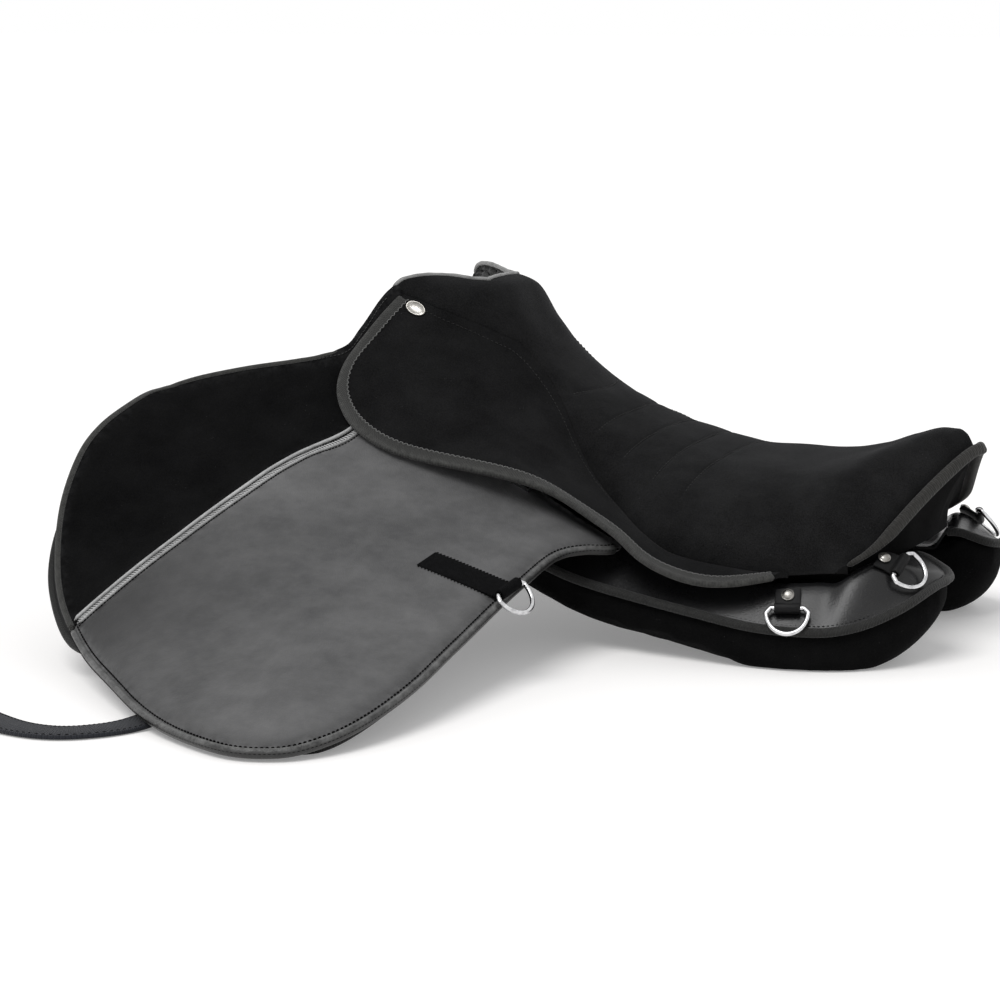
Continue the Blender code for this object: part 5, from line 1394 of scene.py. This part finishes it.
def panelTop(x, y):
    # middle of the leather that covers the cushion
    outer = panelOuter(x)
    width = halfWidth(x)
    seam = seamHeight(x)
    share = np.minimum(y / width, 1)
    arch = seat["crownShare"] * (crownHeight(np.minimum(x, 0.18)) - seam) * (1 - 0.45 * ease(x, 0.08, 0.18))
    low = seam - panel["stack"] + arch * (1 - share * share)
    behind = ease(x, -0.06, 0.0)
    beyond = ease(y / width, panel["treeReach"] + 0.03, 0.98)
    shoulder = low + (seam - panel["shoulder"] - low) * behind * beyond
    crease = np.minimum(width, outer - 0.012)
    down = np.clip((y - crease) / (outer - crease), 0, 1)
    shoulder = shoulder + (panelEdge(x) - shoulder) * down
    baseX = seat["seamBackX"] + (seat["cantleBaseX"] - seat["seamBackX"]) * np.maximum(0, 1 - share * share)
    rear = low + (rearHeight(x) - low) * ease(x - baseX, -0.006, 0.008)
    rear = rear + (panelEdge(x) - rear) * np.clip((y - outer + 0.032) / 0.032, 0, 1) ** 1.3
    return shoulder + (rear - shoulder) * ease(x, 0.150, 0.185)


def smoothAll(mesh, rounds):
    work = bmesh.new()
    work.from_mesh(mesh)
    everyWay = {"use_axis_x": True, "use_axis_y": True, "use_axis_z": True}
    for _ in range(rounds):
        bmesh.ops.smooth_vert(work, verts=work.verts, factor=0.5, **everyWay)
    work.to_mesh(mesh)
    work.free()


def applyModifiers(made):
    graph = bpy.context.evaluated_depsgraph_get()
    made.data = bpy.data.meshes.new_from_object(made.evaluated_get(graph))
    made.modifiers.clear()


def inflate(source, name, voxel, cap, frames=20):
    # swells a closed cushion with a cloth run, holding its top and keeping it off the floor
    made = bpy.data.objects.new(name, source.data.copy())
    bpy.context.scene.collection.objects.link(made)
    mesher = made.modifiers.new("voxels", "REMESH")
    mesher.mode = "VOXEL"
    mesher.voxel_size = voxel
    applyModifiers(made)
    smoothAll(made.data, 6)
    rest = np.array([v.co for v in made.data.vertices])
    facing = np.array([v.normal for v in made.data.vertices])
    cloth = made.modifiers.new("cloth", "CLOTH")
    cloth.settings.use_pressure = True
    cloth.settings.uniform_pressure_force = 4.0
    cloth.settings.effector_weights.gravity = 0
    cloth.settings.quality = 4
    cloth.point_cache.frame_start = 1
    cloth.point_cache.frame_end = frames
    for number in range(1, frames + 1):
        bpy.context.scene.frame_set(number)
    graph = bpy.context.evaluated_depsgraph_get()
    moved = np.array([v.co for v in made.evaluated_get(graph).data.vertices])
    made.modifiers.clear()
    bpy.context.scene.frame_set(1)
    step = moved - rest
    size = np.linalg.norm(step, axis=1, keepdims=True)
    step = step * np.minimum(1, cap / np.maximum(size, 1e-9))
    hold = np.clip(1 - facing[:, 2:] / 0.55, 0, 1)
    rest = rest + step * hold
    rest[:, 2] = np.maximum(rest[:, 2], 0.0002)
    made.data.vertices.foreach_set("co", rest.astype(np.float32).ravel())
    made.data.update()
    return made


def buildPanelLeather(name, side):
    mirror = np.array([1, side, 1])
    front, turnX, back = panel["front"], panel["turnX"], panel["back"]
    straight = np.linspace(front, turnX, 110)[:-1]
    rows = np.concatenate([straight, turnX + (back - turnX) * np.sin(np.pi / 2 * np.linspace(0, 1, 80))])
    share = np.linspace(0, 1, 60)
    x = np.broadcast_to(rows[:, None], (len(rows), len(share)))
    stop = panelOuter(rows) - 0.003
    inner = panelInner(rows) + 0.001
    y = inner[:, None] + (stop - inner)[:, None] * share[None]
    middle, normal = frameOn(panelTop, 0.003, x, y)
    relaxGrid(middle[..., 2], 10)
    half = panel["leather"] / 2
    shape = slabOf((middle + normal * half) * mirror, (middle - normal * half) * mirror)
    replaced = ["panel_cover_" + name]
    addPiece("panelLeather_" + name, shape, "panelLeather", "saddle", replaced, rimValues(shape), 60)

    # binding round the free edge and the rear tip
    outer = np.stack([rows, panelOuter(rows) - 0.0015], 1)
    tip = np.stack([np.full(4, panel["tipX"]), np.linspace(0.081, 0.068, 4)], 1)
    backX = np.linspace(0.2225, 0.190, 12)
    inside = np.stack([backX, panelInner(backX) + 0.0015], 1)
    plan = spread(np.vstack([outer[:-4:4], tip, inside]), 0.002, 60)
    middle, normal = frameOn(panelTop, 0.003, np.minimum(plan[:, 0], back), plan[:, 1])
    middle[:, 0] = plan[:, 0]
    relax(middle[:, 2], 30)
    for _ in range(30):
        normal[1:-1] = unit(normal[:-2] + normal[1:-1] + normal[2:])
    section = boxSection(panel["tapeWidth"], panel["tapeThickness"], 0.0028, 4)
    rings = sweep(middle * mirror, normal * mirror, section, tips=0.004)
    values = bandValues(rings, section, middle, (section[:, 1] > 0.002) * 0.4)
    replaced = ["panel_binding_" + name]
    addPiece("panelTape_" + name, tubeOf(rings), "panelTape", "saddle", replaced, values, 80)
    sewn = StitchRows(0.00034)
    ahead = unit(np.gradient(middle, axis=0))
    inward = unit(np.cross(ahead, normal))
    inward *= -np.sign(inward[40, 1])
    line = middle + inward * (panel["tapeWidth"] / 2 + 0.0010) + normal * (half + 0.0002)
    sewn.along((line * mirror)[:-24], (normal * mirror)[:-24], 0.0032, 0.0022)
    sewn.finish("panelStitches_" + name, "blackThread", "saddle")


def buildCushion(name, side):
    cushion = inflate(nodes["panel_" + name], "panelCushion_" + name, panel["voxel"], panel["cap"])
    finer = cushion.modifiers.new("finer", "SUBSURF")
    finer.levels = 1
    finer.render_levels = 1
    applyModifiers(cushion)
    cushion.data.materials.clear()
    cushion.data.materials.append(looks["cushionSuede"])
    cushion.data.attributes.new("rim", "FLOAT", "POINT")
    cushion.data.shade_smooth()
    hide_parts("panel_" + name)
    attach(cushion, "saddle")


bothSides(buildPanelLeather, buildCushion)
print("panels built")


# dees, straps that hold them, rivets, tabs and badges
hardware = {
    "deeWire": 0.0017, "deeWidth": 0.0290, "deeDepth": 0.0200,
    "gap": 0.0005, "curl": 1.5, "flatSteps": 12, "curlSteps": 24,
    "chapeWidth": 0.0180, "chapeThickness": 0.0016, "chapeLength": 0.0170,
    "rivetAt": 0.0115, "rivetRadius": 0.0045,
    "tabWidth": 0.0235, "tabLength": 0.0670, "tabThickness": 0.0018, "tabX": -0.0237, "tabY": 0.2674,
    "tabTurn": 4.5, "tabGap": 0.0014, "flapDeeWidth": 0.0315, "droop": 30,
}
rivetProfile = [
    (0.0, 0.0), (1.0, 0.0), (1.0, 0.0005), (0.97, 0.0008), (0.90, 0.0009), (0.86, 0.0010), (0.78, 0.0015),
    (0.62, 0.0020), (0.42, 0.00235), (0.2, 0.0025), (0.05, 0.00255),
]
panelDees = {"front": (0.1341, 0.1459, 24), "rear": (0.1975, 0.1000, 104)}  # place and turn in degrees


def surfaceFrame(x, y, side, height, degrees=0.0):
    # a place on a height field: origin, two directions along the surface, turned, and the normal
    r = 0.004
    spot = [float(height(np.array([a]), np.array([b]))[0]) for a, b in ((x, y), (x + r, y), (x, y + r))]
    origin = np.array([x, side * y, spot[0]])
    ahead = unit(np.array([x + r, side * y, spot[1]]) - origin)
    out = np.array([x, side * (y + r), spot[2]]) - origin
    out = unit(out - ahead * (ahead @ out))
    normal = np.cross(ahead, out) * side
    c, s = math.cos(math.radians(degrees)), math.sin(math.radians(degrees))
    return origin, ahead * c - out * s, out * c + ahead * s, normal


def placedOn(spot, a, b, c):
    origin, ahead, out, normal = spot
    a, b, c = (np.asarray(q, float)[..., None] for q in np.broadcast_arrays(a, b, c))
    return origin + ahead * a + out * b + normal * c


def deeShape(spot, lift, width, droop=0.0):
    half = width / 2
    wire = hardware["deeWire"]
    bend = 1.8 * wire
    straight = np.stack([np.linspace(-half + bend, half - bend, 12), np.zeros(12)], 1)
    turn = np.linspace(0, math.pi, 60)
    bow = np.stack([half * np.cos(turn), bend + (hardware["deeDepth"] - bend) * np.sin(turn)], 1)
    plan = spread(np.vstack([straight, bow])[:-1], 0.0008, closed=True)
    c, s = math.cos(math.radians(droop)), math.sin(math.radians(droop))
    path = placedOn(spot, plan[:, 0], plan[:, 1] * c, lift - plan[:, 1] * s)
    return tubeOf(sweep(path, spot[3], ringSection(wire, 14), closed=True), True)


def curlPath(length, base, lift, curl):
    # a flat stretch, then a curl round the dee's wire
    count, turns = hardware["flatSteps"], hardware["curlSteps"]
    flats = [(-length * (1 - k / count), base) for k in range(count)]
    flats.append((-hardware["gap"], base))
    for k in range(1, turns + 1):
        a = -math.pi / 2 + hardware["curl"] * math.pi * k / turns
        flats.append((curl * math.cos(a), lift + curl * math.sin(a)))
    return np.array(flats)


def strapShape(spot, flats, width, thickness, follow=None):
    path = placedOn(spot, 0.0, flats[:, 0], flats[:, 1])
    if follow is not None:
        path = follow(path)
    run = unit(np.gradient(flats, axis=0))
    ups = spot[2] * -run[:, 1:] + spot[3] * run[:, :1]
    section = boxSection(width, thickness, thickness * 0.42, 3)
    rings = sweep(path, ups, section)
    return tubeOf(rings), bandValues(rings, section, path, (np.abs(section[:, 0]) > width * 0.46) * 0.5)


def rivetShape(spot, base):
    turn = 2 * math.pi * np.arange(28) / 28
    rings = []
    for share, height in rivetProfile:
        r = hardware["rivetRadius"] * max(share, 0.02)
        rings.append(placedOn(spot, r * np.cos(turn), r * np.sin(turn), np.full(28, base + height)))
    return tubeOf(np.array(rings))


def buildPanelDees(name, side):
    thickness = hardware["chapeThickness"]
    for place, (x, y, turn) in panelDees.items():
        spot = surfaceFrame(x, y, side, panelTop, turn)
        base = panel["leather"] / 2 * 1.3 + 0.0010
        lift = base + thickness + hardware["gap"] + hardware["deeWire"]
        tag = place + "_" + name
        shape = deeShape(spot, lift, hardware["deeWidth"])
        addPiece("panelDee_" + tag, shape, "chrome", "panel_dee_" + tag, ["panel_dee_" + tag])
        curl = hardware["deeWire"] + hardware["gap"] + thickness / 2
        flats = curlPath(hardware["chapeLength"], lift - curl, lift, curl)
        shape, values = strapShape(spot, flats, hardware["chapeWidth"], thickness)
        # the flat part bends with the panel's leather
        points = shape[0]
        away = points - spot[0]
        sink = away[:, 0] * spot[3][0] + away[:, 1] * spot[3][1]
        sink = spot[0][2] - sink / spot[3][2] - panelTop(points[:, 0], side * points[:, 1])
        points[:, 2] -= sink * np.clip((-(away @ spot[2]) - 0.001) / 0.005, 0, 1)
        replaced = ["dee_chape_" + tag]
        addPiece("deeStrap_" + tag, shape, "strapLeather", "saddle", replaced, values, 60)
        rivetSpot = placedOn(spot, 0.0, -hardware["rivetAt"], 0.0)
        rivetSpot = surfaceFrame(rivetSpot[0], side * rivetSpot[1], side, panelTop, turn)
        shape = rivetShape(rivetSpot, base + thickness + 0.0003)
        addPiece("rivet_" + tag, shape, "nickel", "saddle", ["dee_rivet_" + tag], None, 35)


def flapTop(x, y):
    return flapFrame(x, y, -flap["thickness"] / 2 - 0.0008)[0][..., 2]


def buildTab(name, side):
    thickness = hardware["tabThickness"]
    spot = surfaceFrame(hardware["tabX"], hardware["tabY"], side, flapTop, 90 - hardware["tabTurn"])
    lift = hardware["tabGap"] + thickness + hardware["gap"] + hardware["deeWire"]
    curl = hardware["deeWire"] + hardware["gap"] + thickness / 2
    steps = hardware["flatSteps"]

    def onFlap(path):
        # keeps the flat part of the tab on the flap
        path = path.copy()
        for k in range(steps - 1):
            wanted = flapTop(path[k:k + 1, 0], side * path[k:k + 1, 1])[0] + hardware["tabGap"]
            path[k, 2] += (wanted - path[k, 2]) * (1 - k / steps) ** 0.5
        return path

    flats = curlPath(hardware["tabLength"], lift - curl, lift, curl)
    shape, values = strapShape(spot, flats, hardware["tabWidth"], thickness, onFlap)
    addPiece("tab_" + name, shape, "tabTape", "flap_" + name, ["flap_tab_" + name], values, 60)
    sewn = StitchRows(0.00055)
    path = onFlap(placedOn(spot, 0.0, flats[:, 0], flats[:, 1]))[:steps] + spot[3] * thickness * 0.2
    for edgeSide in (-1, 1):
        sideways = edgeSide * (hardware["tabWidth"] / 2 + 0.0001)
        sewn.along(path, spot[3], 0.0027, 0.0030, 62 * edgeSide, sideways)
    sewn.finish("tabStitches_" + name, "blackThread", "flap_" + name)
    shape = deeShape(spot, lift, hardware["flapDeeWidth"], hardware["droop"])
    addPiece("flapDee_" + name, shape, "chrome", "flap_dee_" + name, ["flap_dee_" + name])


badge = {"halfLength": 0.0085, "halfWidth": 0.0053, "move": (0.0025, -0.0050, 0.0050)}
badgeProfile = [
    (0.02, 0.0), (1.0, 0.0), (1.0, 0.0009), (0.95, 0.0013), (0.88, 0.0013), (0.84, 0.0010), (0.80, 0.0011),
    (0.6, 0.0016), (0.35, 0.0020), (0.02, 0.0021),
]


def buildBadge(name, side):
    # bare oval plate on the skirt, set from the place of the CAD's badge
    low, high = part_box("badge_" + name)
    grid, up = skirtGrid(120, 40)
    middle = (np.array(low) + np.array(high)) / 2 - shift
    middle[1] = abs(middle[1])
    middle += badge["move"]
    k = np.unravel_index(np.argmin(np.linalg.norm(grid - middle, axis=2)), grid.shape[:2])
    normal = up[k]
    ahead = unit(grid[k[0] + 3, k[1]] - grid[k[0] - 3, k[1]])
    ahead = unit(ahead - normal * (ahead @ normal))
    out = np.cross(normal, ahead)
    base = grid[k] + normal * (skirt["thickness"] / 2 + 0.0004)
    turn = 2 * math.pi * np.arange(48) / 48
    rings = []
    for share, height in badgeProfile:
        long = ahead * (badge["halfLength"] * share * np.cos(turn))[:, None]
        wide = out * (badge["halfWidth"] * share * np.sin(turn))[:, None]
        rings.append(base + long + wide + normal * height)
    shape = tubeOf(np.array(rings) * np.array([1, side, 1]))
    addPiece("badge_" + name + "_plate", shape, "nickel", "saddle", ["badge_" + name], None, 30)


bothSides(buildPanelDees, buildTab, buildBadge)
print("hardware built")


# CAD nodes that stay, with their finishes
carried = {"tree": "treeShell", "head_plate": "steel", "seat_foam": "seatFoam"}
for side in sideSigns:
    for label, look in (("stirrup_bar_", "steel"), ("bar_catch_", "steel"), ("catch_pin_", "nickel")):
        carried[label + side] = look
for label, look in carried.items():
    for place in nodes[label].material_slots:
        place.material = looks[look]
print("carried-over nodes dressed:", len(carried))
